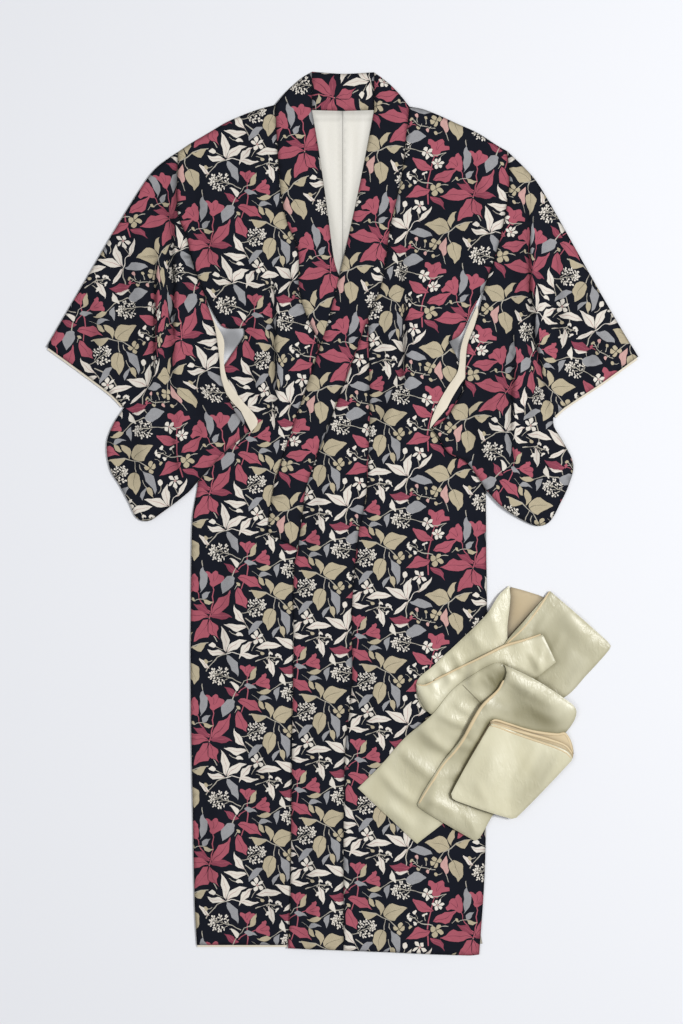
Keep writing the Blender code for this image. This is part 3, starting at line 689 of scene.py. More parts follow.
def innerPoints(outline, cell):
    # an even net of points inside an outline
    low, high = outline.min(0), outline.max(0)
    column, row = np.meshgrid(np.arange(math.floor(low[0] / cell) - 1, math.ceil(high[0] / cell) + 1),
                              np.arange(math.floor(low[1] / cell) - 1, math.ceil(high[1] / cell) + 1))
    net = np.c_[((column + 0.5 * (row % 2)) * cell).ravel(), (row * cell).ravel().astype(float)]
    net = net[isInside(outline, *net.T)]
    parts = [net[rimAway(outline, *net.T) > shell["netFree"] * cell]]
    if cell < shell["coarse"]:
        for inset, every in shell["rimRows"]:
            row = insetOutline(outline, inset)[::every]
            parts.append(row[isInside(outline, *row.T) & (rimAway(outline, *row.T) > shell["rimFree"])])
    return np.vstack(parts)


def meshSide(outline, shapes, cell):
    # one face of a shell: triangles over the outline, cut along the shapes; each knows its topmost shape.
    # It is cut band by band, since one large triangulation is slow, and the bands share their lines' points.
    low, high = outline.min(0), outline.max(0)
    inner = innerPoints(outline, cell)
    bands = max(1, round((high[1] - low[1]) / shell["bandHeight"])) if shapes else 1
    levels = np.linspace(low[1] - 1, high[1] + 1, bands + 1)
    west, east, free = low[0] - shell["border"], high[0] + shell["border"], shell["bandFree"]
    flats, trises, tops, count = [], [], [], 0
    for start, end in zip(levels, levels[1:]):
        own = [k for k, (_, shape, _) in enumerate(shapes) if shape[:, 1].min() < end and shape[:, 1].max() > start]
        border = np.array([(west, start), (east, start), (east, end), (west, end)])
        loops = [outline, border, *(shapes[k][1] for k in own)]
        loose = inner[(inner[:, 1] > start + free) & (inner[:, 1] < end - free)]
        # the loose points come third, since the order of the points decides between equal triangulations
        points = [*loops[:2], loose, *loops[2:]]
        starts = np.cumsum([0] + [len(part) for part in points])
        faces = [list(range(starts[k], starts[k + 1])) for k in range(len(points)) if k != 2]
        flat, _, tris, origVerts, _, origFaces = delaunay_2d_cdt(
            [tuple(p) for p in np.vstack(points).tolist()], [], faces, 1, 1e-5)
        flat = np.array([tuple(p) for p in flat])
        kept = [(tri, origin) for tri, origin in zip(tris, origFaces) if 0 in origin and 1 in origin]
        tris = np.array([tri for tri, _ in kept])
        tops += [topShape(own, [k - 2 for k in origin if k > 1], shapes, centre)
                 for (_, origin), centre in zip(kept, flat[tris].mean(1))]
        trises.append(tris + count)
        flats.append(flat)
        count += len(flat)
    flat, tris, tops = np.vstack(flats), np.vstack(trises), np.array(tops)
    same = np.arange(len(flat))
    for between in levels[1:-1]:
        line = np.nonzero(np.abs(flat[:, 1] - between) < shell["joinLine"])[0]
        line = line[np.argsort(flat[line, 0], kind="stable")]
        for before, after in zip(line, line[1:]):
            if flat[after, 0] - flat[before, 0] < shell["joinAway"]:
                same[after] = same[before]
    tris = same[tris]
    whole = (tris[:, 0] != tris[:, 1]) & (tris[:, 1] != tris[:, 2]) & (tris[:, 2] != tris[:, 0])
    where = {original: index for index, originals in enumerate(origVerts) for original in originals}
    return flat, tris[whole], tops[whole], where


def boundaryLoop(flat, tris):
    # the rim's points in order, from the leftmost on
    used = set(map(tuple, np.vstack([tris[:, [0, 1]], tris[:, [1, 2]], tris[:, [2, 0]]]).tolist()))
    ends = {a: b for a, b in used if (b, a) not in used}
    rim = np.array(sorted(ends))
    loop = [int(rim[np.argmin(flat[rim, 0])])]
    while ends[loop[-1]] != loop[0]:
        loop.append(ends[loop[-1]])
    return loop


def compacted(flat, tris, loop):
    # drops the points that no triangle uses and numbers the others anew
    used = np.unique([*tris.ravel(), *loop])
    renumber = np.full(len(flat), -1)
    renumber[used] = np.arange(len(used))
    return flat[used], renumber[tris], renumber[loop]


def edgeWear(outline, x, y, rows):
    # how far a face is lowered near its edge, with the slope of that: rows of (depth, reach)
    best, toX, toY = np.full(len(x), 1e9), np.zeros(len(x)), np.zeros(len(x))
    for (ax, ay), (bx, by) in zip(outline, np.roll(outline, -1, 0)):
        dx, dy = bx - ax, by - ay
        t = np.clip(((x - ax) * dx + (y - ay) * dy) / (dx * dx + dy * dy + 1e-12), 0.0, 1.0)
        offX, offY = x - ax - t * dx, y - ay - t * dy
        away = np.hypot(offX, offY)
        nearer = away < best
        best = np.where(nearer, away, best)
        toX, toY = np.where(nearer, offX, toX), np.where(nearer, offY, toY)
    drop, slope = np.zeros(len(x)), np.zeros(len(x))
    for depth, reach in rows:
        part = depth * hump(best, reach)
        drop += part
        slope += -2 * best / reach**2 * part
    size = np.maximum(best, 1e-6)
    return drop, np.c_[slope * toX / size, slope * toY / size]


def shellMesh(name, outline, surface, thickness, shapes=(), printed="top", cell=8.0, backCell=13.0,
              wear=((0.5, 1.8), (0.35, 6.0)), backMaterial=1, edgeShade=0.0):
    # a closed shell: the printed face is cut along its shapes, the other face is plain and shares its rim
    flat, tris, tops, _ = meshSide(outline, shapes, cell)
    flat, tris, loop = compacted(flat, tris, boundaryLoop(flat, tris))
    backFlat, backTris, _, where = meshSide(flat[loop], (), backCell)
    backFlat, backTris, backLoop = compacted(backFlat, backTris, [where[k] for k in range(len(loop))])
    under = loweredMap(surface, shell["underReach"] * backCell)

    def lift(points, up):
        # places one face's points, with the normals and the shade there
        base = readMap(surface if up else under, *points.T)
        drop, dropSlope = edgeWear(outline, *points.T, wear if up else shell["underWear"])
        sign = 1 if up else -1
        height = base[:, 0] + (thickness if up else 0.0) - sign * drop
        normal = np.c_[sign * dropSlope - base[:, 1:3], np.ones(len(points))]
        normal /= np.linalg.norm(normal, axis=1, keepdims=True)
        shade = base[:, 3] + edgeShade * hump(rimAway(outline, *points.T), shell["shadeReach"])
        return np.c_[points, height] * mm, normal * sign, shade.clip(*shell["shadeRange"])

    onTop = printed == "top"
    verts, vertNormal, shades = (np.concatenate(pair) for pair in zip(lift(flat, onTop), lift(backFlat, not onTop)))
    backTris, backLoop = backTris + len(flat), backLoop + len(flat)
    ahead, backAhead = np.roll(loop, -1), np.roll(backLoop, -1)
    rim = np.vstack([np.c_[ahead, loop, backLoop], np.c_[ahead, backLoop, backAhead]])
    if onTop:
        backTris = backTris[:, ::-1]
    else:
        tris, rim = tris[:, ::-1], rim[:, ::-1]
    faces = np.vstack([tris, backTris, rim])
    kinds = np.repeat([0, 1, 2], [len(tris), len(backTris), len(rim)])
    mesh = bpy.data.meshes.new(name)
    mesh.from_pydata(verts.tolist(), [], faces.tolist())
    mesh.polygons.foreach_set("material_index", np.where(kinds == 1, backMaterial, 0).astype(np.int32))
    mesh.polygons.foreach_set("use_smooth", np.ones(len(faces), bool))
    # normals that follow the true surface, not the thin triangles of the print
    normals = vertNormal[faces.ravel()].reshape(-1, 3, 3)
    along = (verts[ahead] - verts[loop])[:, :2]
    side = np.tile(np.c_[along[:, 1], -along[:, 0], np.zeros(len(loop))], (2, 1))
    normals[kinds == 2] = (side / np.maximum(np.linalg.norm(side, axis=1, keepdims=True), 1e-9))[:, None, :]
    mesh.normals_split_custom_set(normals.reshape(-1, 3).tolist())
    mesh.attributes.new("shade", "FLOAT", "POINT").data.foreach_set("value", shades)
    addPrint(mesh, shapes, tops, verts[faces] / mm)
    layUv(mesh, verts[faces] / mm, kinds, outline)
    return mesh


def addPrint(mesh, shapes, tops, corners):
    # the inks, and where each corner lies within its leaf: along it, across it and its kind of veins
    inkOf = np.array([linearColour(printInks[ink]) for ink in ("ground", *(ink for ink, _, _ in shapes))])
    inks = np.tile(inkOf[0], (len(corners), 1))
    inks[:len(tops)] = inkOf[tops]
    mesh.attributes.new("ink", "FLOAT_VECTOR", "FACE").data.foreach_set("vector", inks.ravel())
    axes = np.tile([0.0, 0.0, 1.0, 0.0, 1.0, 1.0, 0.0], (len(shapes) + 1, 1))  # x, y, direction, length, width, kind
    for k, (_, _, axis) in enumerate(shapes):
        if axis is not None:
            run = axis[1] - axis[0]
            length = np.linalg.norm(run)
            axes[k + 1] = (*axis[0], *(run / length), length, *axis[2:])
    own = axes[tops][:, None, :]
    off = corners[:len(tops), :, :2] - own[..., :2]
    veins = np.zeros(corners.shape)
    veins[:len(tops), :, 0] = (off * own[..., 2:4]).sum(-1) / own[..., 4]
    veins[:len(tops), :, 1] = (off[..., 1] * own[..., 2] - off[..., 0] * own[..., 3]) / own[..., 5] * 2
    veins[:len(tops), :, 2] = own[..., 6]
    mesh.attributes.new("vein", "FLOAT_VECTOR", "CORNER").data.foreach_set("vector", veins.ravel())


def layUv(mesh, corners, kinds, outline):
    # a flat map: the printed face in strips side by side over the left three quarters, the plain face beside them
    low, high = outline.min(0), outline.max(0)
    size = high - low
    strips = 2 if size[1] > 2.5 * size[0] else 1
    tall, filled = size[1] / strips, 0.96
    band = np.clip((corners[:, :, 1].mean(1) - low[1]) // tall, 0, strips - 1)[:, None]
    across = (corners[:, :, 0] - low[0]) / size[0]
    u = 0.01 + (0.76 / strips) * (band + filled * across)
    v = 0.02 + filled * (corners[:, :, 1] - low[1] - band * tall) / tall
    back = (kinds == 1)[:, None]
    u = np.where(back, 0.79 + 0.2 * across, u)
    v = np.where(back, 0.02 + filled * (corners[:, :, 1] - low[1]) / size[1], v)
    mesh.uv_layers.new(name="OFBake").data.foreach_set("uv", np.stack([u, v], -1).ravel())


def cutSize(outline):
    # the smallest rectangle round an outline, as (width, length), and the outline's area, in metres
    sizes = [np.ptp(turnedWay(outline, turn), axis=0) for turn in range(0, 90, 3)]
    best = min(sizes, key=np.prod)
    return tuple(sorted(float(v) * mm for v in best)), abs(signedArea(outline)) * mm * mm


def placeObject(name, node, mesh, materials):
    for material in materials:
        mesh.materials.append(material)
    piece = bpy.data.objects.new(name, mesh)
    scene.collection.objects.link(piece)
    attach(piece, "root")
    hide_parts(node)
    return piece


def layPiece(name, node, mesh, materials, outline, flat=None):
    # puts a shell in the scene in its solid's place
    piece = placeObject(name, node, mesh, materials)
    size, area = cutSize(outline)
    if flat:
        size, area = flat, min(area, flat[0] * flat[1])
    return piece


# ---- the cut of the garment ----

# Edges of the pieces, as in the solids: points that a smooth curve joins. L and R are the wearer's sides.
edges = {
    "shoulderL": [(120, 732), (149, 726), (211, 699), (242, 685), (280, 661), (296, 652)],
    "shoulderR": [(-121, 735), (-154, 726), (-206, 705), (-240, 685), (-274, 665), (-296, 650)],
    "armholeL": [(296, 652), (300, 591), (283, 492), (256, 408)],
    "armholeR": [(-296, 650), (-296, 539), (-281, 499), (-271, 456), (-247, 390)],
    "notchL": [(256, 408), (232, 360), (213, 322), (192, 309)],
    "notchR": [(-247, 390), (-227, 350), (-212, 334), (-178, 333)],
    "sideL": [(192, 309), (208, 276), (230, 204), (248, 132), (258, 42)],
    "sideR": [(-178, 333), (-177, 321), (-213, 264), (-230, 204), (-248, 130), (-262, 42)],
    "skirtL": [(258, 42), (259, -84), (260, -156), (258, -566), (255, -665), (246, -793)],
    "skirtR": [(-262, 42), (-270, -10), (-273, -192), (-273, -336), (-269, -555), (-266, -701), (-262, -776)],
    "neckL": [(57, 726), (35, 611), (15, 517), (1, 456), (-6, 426)],
    "neckR": [(-55, 726), (-42, 649), (-26, 537), (-15, 456), (-6, 426)],
    "collarFree": [(-6, 426), (-28, 339), (-66, 224), (-105, 109), (-123, 51), (-136, -33)],
    "collarEnd": [(-136, -33), (-80, -64)],
    "collarSeamL": [(120, 732), (116, 690), (105, 600), (85, 510), (71, 415), (46, 352)],
    "collarSeamO": [(46, 352), (19, 276), (-22, 166), (-64, 51), (-73, -12), (-80, -64)],
    "collarSeamR": [(-121, 735), (-112, 589), (-100, 525), (-80, 474), (-78, 402), (-66, 360), (-45, 315)],
    "collarSeamH": [(-45, 315), (-25, 260), (25, 150), (68, 30), (84, -62)],
    "collarEndH": [(84, -62), (136, -30)],
    "collarFreeH": [(136, -30), (125, 50), (80, 190), (30, 330), (-6, 426)],
    "peakL": [(120, 732), (100, 757), (80, 777), (57, 794)],
    "peakR": [(-121, 735), (-100, 760), (-75, 783), (-55, 795)],
    "nape": [(57, 794), (0, 791), (-55, 795)],
    "napeSeam": [(57, 726), (0, 724), (-55, 726)],
    "overlapL": [(46, 352), (49, 190), (46, 91), (42, 28), (28, -40), (17, -174), (17, -307), (4, -440), (2, -785)],
    "overlapR": [(-45, 315), (-40, 200), (-38, 60), (-28, -100), (-18, -400), (-12, -776)],
    "frontEdgeL": [(-80, -64), (-87, -96), (-88, -228), (-91, -444), (-94, -700), (-98, -781)],
    "frontEdgeR": [(84, -62), (86, -300), (84, -776)],
    "hemOverlapL": [(-98, -781), (2, -785)],
    "hemL": [(2, -785), (103, -789), (230, -795), (246, -793)],
    "hemR": [(-262, -776), (-12, -776)],
    "hemOverlapR": [(-12, -776), (84, -776)],
    "armL": [(296, 652), (341, 607), (364, 573), (424, 467), (471, 384), (508, 321), (532, 282)],
    "armR": [(-296, 650), (-332, 624), (-354, 598), (-411, 507), (-449, 442), (-490, 372), (-532, 300)],
    "cuffL": [(532, 282), (467, 235), (399, 190), (379, 172)],
    "cuffR": [(-532, 300), (-470, 255), (-415, 213), (-393, 190)],
    "pouchL": [(379, 172), (380, 157), (395, 132), (415, 88), (406, 49), (390, 15), (375, -12), (360, -22),
               (340, -20), (289, 10), (258, 42)],
    "pouchR": [(-393, 190), (-413, 159), (-424, 125), (-418, 80), (-400, 49), (-384, 19), (-370, -8), (-350, -14),
               (-328, -1), (-278, 37), (-260, 57)],
    "innerL": [(258, 42), (242, 67), (220, 94), (190, 109), (170, 140), (158, 152)],
    "innerR": [(-260, 57), (-229, 91), (-213, 109), (-183, 134), (-168, 148)],
    "openingL": [(158, 152), (183, 168), (206, 202), (219, 229), (221, 265), (225, 305), (238, 339), (256, 408)],
    "openingR": [(-168, 148), (-197, 190), (-217, 240), (-221, 280), (-229, 334), (-237, 360), (-247, 390)],
}

# Where the sleeve linings stand out past the front walls
liningEdges = {
    "L": [(156, 151), (160, 170), (174, 202), (190, 229), (207, 256), (213, 300), (226, 338), (243, 376)],
    "R": [(-164, 146), (-152, 166), (-181, 204), (-206, 240), (-213, 272), (-213, 312), (-229, 344), (-246, 384)],
}

# The solids' main folds: x1, y1, x2, y2, height, half width
mainFolds = {
    "frontL": [(92, 395, 74, 150, 6.5, 15), (138, 420, 112, 120, 7.0, 17), (176, 520, 168, 190, 4.0, 22),
               (228, 560, 236, 430, 3.0, 20), (66, 40, 62, -160, 3.0, 17), (150, 60, 168, -90, 3.0, 30),
               (206, -560, 214, -760, 2.5, 26), (70, -470, 64, -770, 2.6, 22)],
    "frontR": [(-150, 470, -146, 120, 7.5, 15), (-104, 420, -100, 200, 6.0, 13), (-206, 560, -196, 400, 4.0, 20),
               (-190, 60, -205, -160, 3.5, 26), (-140, -160, -138, -520, 3.0, 20), (-214, -380, -222, -740, 3.0, 24),
               (-130, -560, -124, -770, 3.0, 18)],
    "overlapL": [(-30, 60, -52, -200, 3.0, 18), (-46, -260, -50, -560, 2.6, 16), (-44, -620, -48, -770, 3.0, 16)],
    "sleeveL": [(330, 520, 318, 240, 8.0, 17), (368, 490, 356, 330, 9.0, 14), (348, 320, 350, 120, 7.0, 15),
                (300, 330, 296, 130, 5.0, 20), (420, 400, 400, 260, 4.0, 24), (392, 130, 372, 30, 4.0, 20)],
    "sleeveR": [(-366, 520, -356, 260, 8.0, 17), (-326, 540, -322, 180, 8.0, 18), (-288, 470, -292, 330, 6.0, 14),
                (-352, 230, -346, 60, 6.0, 18), (-296, 300, -286, 110, 5.0, 15), (-430, 380, -412, 290, 4.0, 26)],
    "nape": [(-45, 762, 45, 762, 4.0, 26)],
}

# The sash's stretches from the lowest up
sashOutlines = {
    "sashTurn": [(303, -132), (292, -150), (288, -197), (282, -236), (330, -250), (385, -230), (376, -170),
                 (366, -153), (332, -140)],
    "sashRise": [(300, -129), (281, -146), (258, -181), (210, -229), (165, -271), (132, -307), (158, -358),
                 (230, -318), (290, -262), (297, -197), (302, -152)],
    "sashFall": [(373, -139), (330, -188), (286, -240), (262, -290), (330, -352), (398, -332), (440, -290),
                 (477, -249), (483, -238), (478, -231), (430, -188)],
    "sashEnd": [(132, -305), (150, -305), (206, -276), (287, -239), (354, -219), (359, -217), (362, -221),
                (382, -263), (384, -267), (380, -270), (345, -297), (290, -330), (220, -372), (162, -362),
                (140, -335)],
    "sashLong": [(27, -493), (69, -451), (111, -403), (159, -361), (197, -316), (236, -287), (271, -268), (287, -268),
                 (340, -298), (390, -336), (396, -350), (330, -410), (200, -540), (140, -588), (134, -593),
                 (129, -589)],
    "sashLoop": [(289, -270), (293, -284), (283, -307), (249, -342), (229, -374), (210, -406), (175, -451),
                 (134, -520), (140, -529), (228, -583), (239, -588), (246, -584), (273, -538), (330, -470),
                 (402, -393), (418, -368), (419, -350), (402, -334), (345, -297)],
    "sashBundleLow": [(269, -367), (262, -374), (197, -500), (200, -508), (206, -512), (303, -544), (312, -541),
                      (404, -446), (416, -432), (402, -394), (384, -396), (335, -391)],
    "sashBundleMiddle": [(267, -370), (262, -376), (195, -500), (198, -508), (204, -513), (303, -546), (312, -544),
                         (410, -444), (415, -434), (401, -416), (338, -393)],
    "sashBundleTop": [(266, -374), (261, -380), (194, -501), (196, -509), (203, -514), (303, -548), (312, -546),
                      (411, -444), (413, -438), (400, -424), (335, -400)],
}

# Where a stretch of the sash stands up on its own: x1, y1, x2, y2, height, half width
sashSwells = {
    "sashRise": [(160, -322, 176, -345, 2.0, 18)],
    "sashFall": [(400, -180, 440, -225, 3.0, 34)],
    "sashLong": [(120, -440, 190, -520, 1.5, 30)],
    "sashLoop": [(262, -330, 218, -398, 6.0, 26), (286, -296, 340, -318, 6.5, 24), (360, -330, 408, -366, 4.0, 24),
                 (150, -512, 240, -570, 3.5, 20)],
    "sashBundleTop": [(255, -440, 350, -480, 2.0, 60)],
}

# Heights of the layers' undersides and their thicknesses, as in the solids
layers = {
    "cloth": 1.5, "collar": 2.2, "lining": 1.0, "sash": 2.4,
    "front": 1.8, "collarBase": 3.1, "overlap": 5.6, "sleeveLift": 3.9, "sleeveFront": 3.1,
    # where one height goes over to another
    "overlapX": (150, 215), "overlapY": (430, 520), "neckDropY": (742, 780), "pressed": (14, 50),
    "sideEdge": (213, 262), "sideEdgeY": (42, 264), "sleeveDropX": (16, 110), "sleeveDropY": (290, 430),
    "sashGap": 0.8, "sashDrape": (18, 70), "sideSeamX": (264, 308),
    "seam": 0.15,
}


def outlineOf(*names):
    # joins named edges into one outline; a name that starts with - is run backwards
    parts = []
    for name in names:
        points = curveThrough(edges[name.lstrip("-")])
        parts.append((points[::-1] if name.startswith("-") else points)[:-1])
    return np.vstack(parts)


def overlapHeight(x, y):
    # how far the left front is raised by the right front and its collar under it
    across = 1 - smoothStep(*layers["overlapX"], x)
    return (layers["overlap"] - layers["front"]) * across * (1 - smoothStep(*layers["overlapY"], y))


def neckDrop(y):
    return layers["collarBase"] * smoothStep(*layers["neckDropY"], y)


def sleeveLift(x, y):
    # a sleeve's inner part lies on the body's front
    low, high = layers["sideEdge"]
    edge = low + (high - low) * (1 - smoothStep(*layers["sideEdgeY"], y))
    near, far = layers["sleeveDropX"]
    over = 1 - smoothStep(0, 1, (np.abs(x) - edge - near) / (far - near))
    up = layers["sleeveLift"] + np.where(x > 0, overlapHeight(x, y), 0.0)
    return up * over * (1 - smoothStep(*layers["sleeveDropY"], y))


def sleeveReach(side):
    names = [edge + side for edge in ("arm", "cuff", "pouch", "inner")]
    return np.vstack([outlineOf(*names), curveThrough(liningEdges[side]), outlineOf("-armhole" + side)])


# Cloth that lies loose is never quite flat: long shallow waves, in height, length along X and along Y, and phase
lieOfCloth = [(0.55, 92, 410, 0.4), (0.45, 61, 300, 2.1), (0.35, 38, 190, 4.4), (0.3, 140, 120, 1.2)]


def clothWaves(x, y):
    total = np.zeros(np.shape(x))
    for height, acrossX, alongY, phase in lieOfCloth:
        sway = 0.9 * np.sin(2 * math.pi * y / (alongY * 1.7) + phase)
        total += height * (0.5 + 0.5 * np.sin(2 * math.pi * x / acrossX + sway + phase)) \
            * (0.6 + 0.4 * np.sin(2 * math.pi * y / alongY + 2 * phase))
    return total


# A crease has its height, half gap, reach to -X and to +X (0 where the cloth stays low on that side), shade and
# points from the top down. Its shade is soft over the low side and deep at its core: widths beside a gap and without.
creaseShade = {"gap": (12.0, 3.2), "fold": (16.0, 7.0), "highSide": 0.35, "soft": 0.55, "core": 0.45}


def foldedHeight(ridges, creases, x, y):
    # the main folds, carved by grooves and with their lips
    total = ridgeHeight(ridges, x, y) + clothWaves(x, y)
    lips = np.zeros(np.shape(x))
    for height, gap, west, east, _, *points in creases:
        away, along, side = nearLine(curveThrough(points, 20), x, y)
        fade = endFade(along, 0.1, 0.6)
        reach = np.where(side > 0, east, west)
        beyond = np.where(reach > 0, hump((away - gap).clip(0), np.maximum(reach, 1)), 0.0)
        if gap:
            total *= 1 - fade * hump(away, 0.9 * gap)
            beyond = np.where(away < gap, smoothStep(0, gap, away) * (reach > 0), beyond)
        lips += height * fade * beyond
    return total + lips


def foldShade(creases, x, y):
    light = np.ones(np.shape(x))
    for _, gap, west, east, shade, *points in creases:
        away, along, side = nearLine(curveThrough(points, 20), x, y)
        low = side > 0 if west > east else side < 0  # the lower side lies in the shade of the higher one
        wide, core = creaseShade["gap" if gap else "fold"]
        soft = hump(away, np.where(low, wide, creaseShade["highSide"] * wide))
        light *= 1 - shade * endFade(along, 0.1, 0.6) * (creaseShade["soft"] * soft
                                                         + creaseShade["core"] * hump(away, core))
    return 1 - light


pressers = [sleeveReach("L"), sleeveReach("R"), *map(closedCurve, sashOutlines.values())]


def freeOfWeight(x, y):
    # 0 where a sleeve or the sash presses the cloth flat, 1 well away from them
    free = np.ones(np.shape(x))
    for outline in pressers:
        free = np.minimum(free, smoothStep(*layers["pressed"], awayFrom(outline, x, y)))
    return free


def mapHeight(surface, x, y):
    return readMap(surface, x.ravel(), y.ravel())[:, 0].reshape(x.shape)


freeMap = heightMap((-290, -800), (310, 740), freeOfWeight, step=4.0)
print("where the cloth lies free is known")


def clothPiece(name, node, outline, surface, settings, restsOn, thickness=None, edgePieces=(), **how):
    # a printed piece of the garment: its outline without the seam gap, its cut of the print and its shell
    outline = insetOutline(outline, layers["seam"])
    mesh = shellMesh(name, outline, surface, thickness or layers["cloth"], printOn(outline, settings["lay"]),
                     edgeShade=0.6, **how)
    return layPiece(name, node, mesh, (printedCrepe, hemSilk), outline,
                    flat=settings.get("flat"))


def flatMap(outline, height=0.0):
    return heightMap(*boundsOf(outline), level(height), step=50.0)


# ---- the backs, printed on the side that faces the floor ----

back = {
    "nape": 724, "neckHalf": 56, "hem": -774, "hemHalf": 252, "wear": ((0.5, 2.2),), "cell": 16.0,
    "left": {"lay": {"shift": (66, 20)}}, "right": {"lay": {"shift": (190, 130)}},
}


def makeBacks():
    for side, word, sign in (("L", "left", 1), ("R", "right", -1)):
        outline = np.vstack([
            [(0, back["nape"]), (sign * back["neckHalf"], back["nape"] + 2)],
            *(curveThrough(edges[name + side])[:-1] for name in ("shoulder", "armhole", "notch", "side", "skirt"))])
        outline = np.vstack([outline[outline[:, 1] > back["hem"] + 10],
                             [(sign * back["hemHalf"], back["hem"]), (0, back["hem"])]])
        clothPiece(f"back{word.capitalize()}Cloth", f"back_{word}", outline, flatMap(outline), back[word], [],
                   printed="bottom", wear=back["wear"], cell=back["cell"])
    print("backs done")


# ---- the fronts ----

frontRight = {
    "creases": [  # height, half gap, reach to -X, reach to +X, shade, points from the top down
        (4.8, 4.0, 0, 15, 0.55, (-124, 430), (-122, 300), (-121, 150)),
        (2.4, 3.0, 0, 9, 0.40, (-98, 440), (-90, 412), (-84, 376)),
        (2.0, 0, 9, 22, 0.22, (-262, 600), (-240, 520), (-226, 440)),
        (1.6, 0, 20, 8, 0.16, (-176, 690), (-172, 600), (-180, 500)),
        (1.5, 0, 10, 26, 0.18, (-196, -20), (-206, -150), (-210, -330)),
        (1.2, 0, 20, 12, 0.12, (-150, -300), (-148, -450), (-140, -620)),
        (1.4, 0, 12, 24, 0.16, (-230, -480), (-234, -600), (-226, -740)),
        (1.6, 0, 14, 9, 0.20, (-122, -640), (-124, -700), (-120, -776)),
    ],
    "pressedX": (-124, -96), "pressedY": (180, 330),  # the left front presses it flat there
    "lay": {"shift": (118, 60), "tucks": [(-124, 430, -121, 150, 26)]},
}
overlapRight = {"lay": {"shift": (20, 30)}}
frontLeft = {
    "creases": [
        (4.6, 3.6, 0, 16, 0.55, (112, 392), (110, 300), (104, 225)),
        (2.4, 0, 7, 16, 0.30, (99, 236), (84, 192), (66, 150)),
        (2.6, 3.2, 10, 0, 0.35, (101, 476), (105, 430), (108, 384)),
        (1.8, 0, 24, 8, 0.18, (176, 640), (182, 540), (170, 430)),
        (1.8, 0, 9, 22, 0.20, (236, 640), (250, 560), (240, 470)),
        (1.3, 0, 24, 10, 0.10, (150, 40), (156, -60), (168, -160)),
        (1.2, 0, 10, 26, 0.12, (60, -200), (54, -330), (58, -480)),
        (1.3, 0, 18, 9, 0.12, (206, -610), (214, -700), (210, -780)),
        (1.2, 0, 9, 20, 0.14, (86, -600), (80, -700), (84, -786)),
    ],
    "lay": {"shift": (40, 150), "tucks": [(112, 392, 104, 225, 22), (101, 476, 108, 384, 12)]},
}
overlapLeft = {
    "creases": [
        (1.5, 0, 8, 18, 0.14, (-26, 120), (-40, 20), (-50, -120)),
        (1.2, 0, 14, 8, 0.12, (-36, -240), (-44, -380), (-42, -520)),
        (1.3, 0, 8, 16, 0.15, (-60, -560), (-52, -660), (-56, -780)),
    ],
    "lay": {"shift": (208, 96)},
}


def frontSurface(outline, base, settings, folds):
    creases = settings["creases"]

    def height(x, y):
        up = foldedHeight(mainFolds[folds], creases, x, y) * mapHeight(freeMap, x, y)
        if "pressedX" in settings:
            pressed = smoothStep(*settings["pressedX"], x) * (1 - smoothStep(*settings["pressedY"], y))
            up = up * (1 - pressed)
        return base(x, y) + up

    return heightMap(*boundsOf(outline), height, shadeOf=lambda x, y: foldShade(creases, x, y))


def makeFronts():
    front = layers["front"]
    outline = outlineOf("-shoulderR", "collarSeamR", "overlapR", "-hemR", "-skirtR", "-sideR", "-notchR", "-armholeR")
    clothPiece("frontRightCloth", "front_right", outline, frontSurface(outline, level(front), frontRight, "frontR"),
               frontRight, ["back_right"], edgePieces=[makeHemLining()])
    outline = outlineOf("-overlapR", "collarSeamH", "frontEdgeR", "-hemOverlapR")
    clothPiece("overlapRightCloth", "overlap_right", outline, flatMap(outline, front), overlapRight,
               ["back_right", "back_left"])
    outline = outlineOf("shoulderL", "armholeL", "notchL", "sideL", "skirtL", "-hemL", "-overlapL", "-collarSeamL")
    surface = frontSurface(outline, lambda x, y: front + overlapHeight(x, y), frontLeft, "frontL")
    clothPiece("frontLeftCloth", "front_left", outline, surface, frontLeft, ["back_left", "front_right"])
    outline = outlineOf("overlapL", "-hemOverlapL", "-frontEdgeL", "-collarSeamO")
    surface = frontSurface(outline, level(layers["overlap"]), overlapLeft, "overlapL")
    clothPiece("overlapLeftCloth", "overlap_left", outline, surface, overlapLeft, ["front_right"])
    print("fronts done")


# ---- the collar: a folded band, crowned across its width ----

collar = {
    "crown": 0.9, "crownReach": 26, "creaseReach": 12,  # how far its middle stands above its edges, and how soon
    "wear": ((0.8, 2.6), (0.4, 7.0)),
    "coveredY": (440, 520),  # below this the left front lies over the lower run and keeps it flat
    "left": {
        "lay": {"turn": -14, "shift": (30, 70)}, "flat": (0.068, 0.94),
        "creases": [(1.1, 8, 14, (104, 740), (96, 700), (98, 640)), (0.8, 12, 7, (66, 560), (52, 480), (38, 400)),
                    (0.8, 7, 12, (-40, 250), (-62, 160), (-84, 60))],
    },
    "right": {
        "lay": {"turn": 12, "shift": (150, 10)}, "flat": (0.068, 0.94),
        "creases": [(1.1, 14, 8, (-104, 744), (-94, 700), (-92, 650)),
                    (0.8, 7, 12, (-84, 600), (-70, 520), (-58, 430)),
                    (1.2, 8, 10, (-46, 500), (-38, 440), (-34, 380))],
    },
    "nape": {
        "lay": {"turn": 90, "shift": (0, 40)},
        "creases": [(0.9, 9, 9, (-50, 775), (0, 768), (50, 775)), (0.7, 5, 5, (-30, 740), (4, 744), (36, 738))],
    },
}


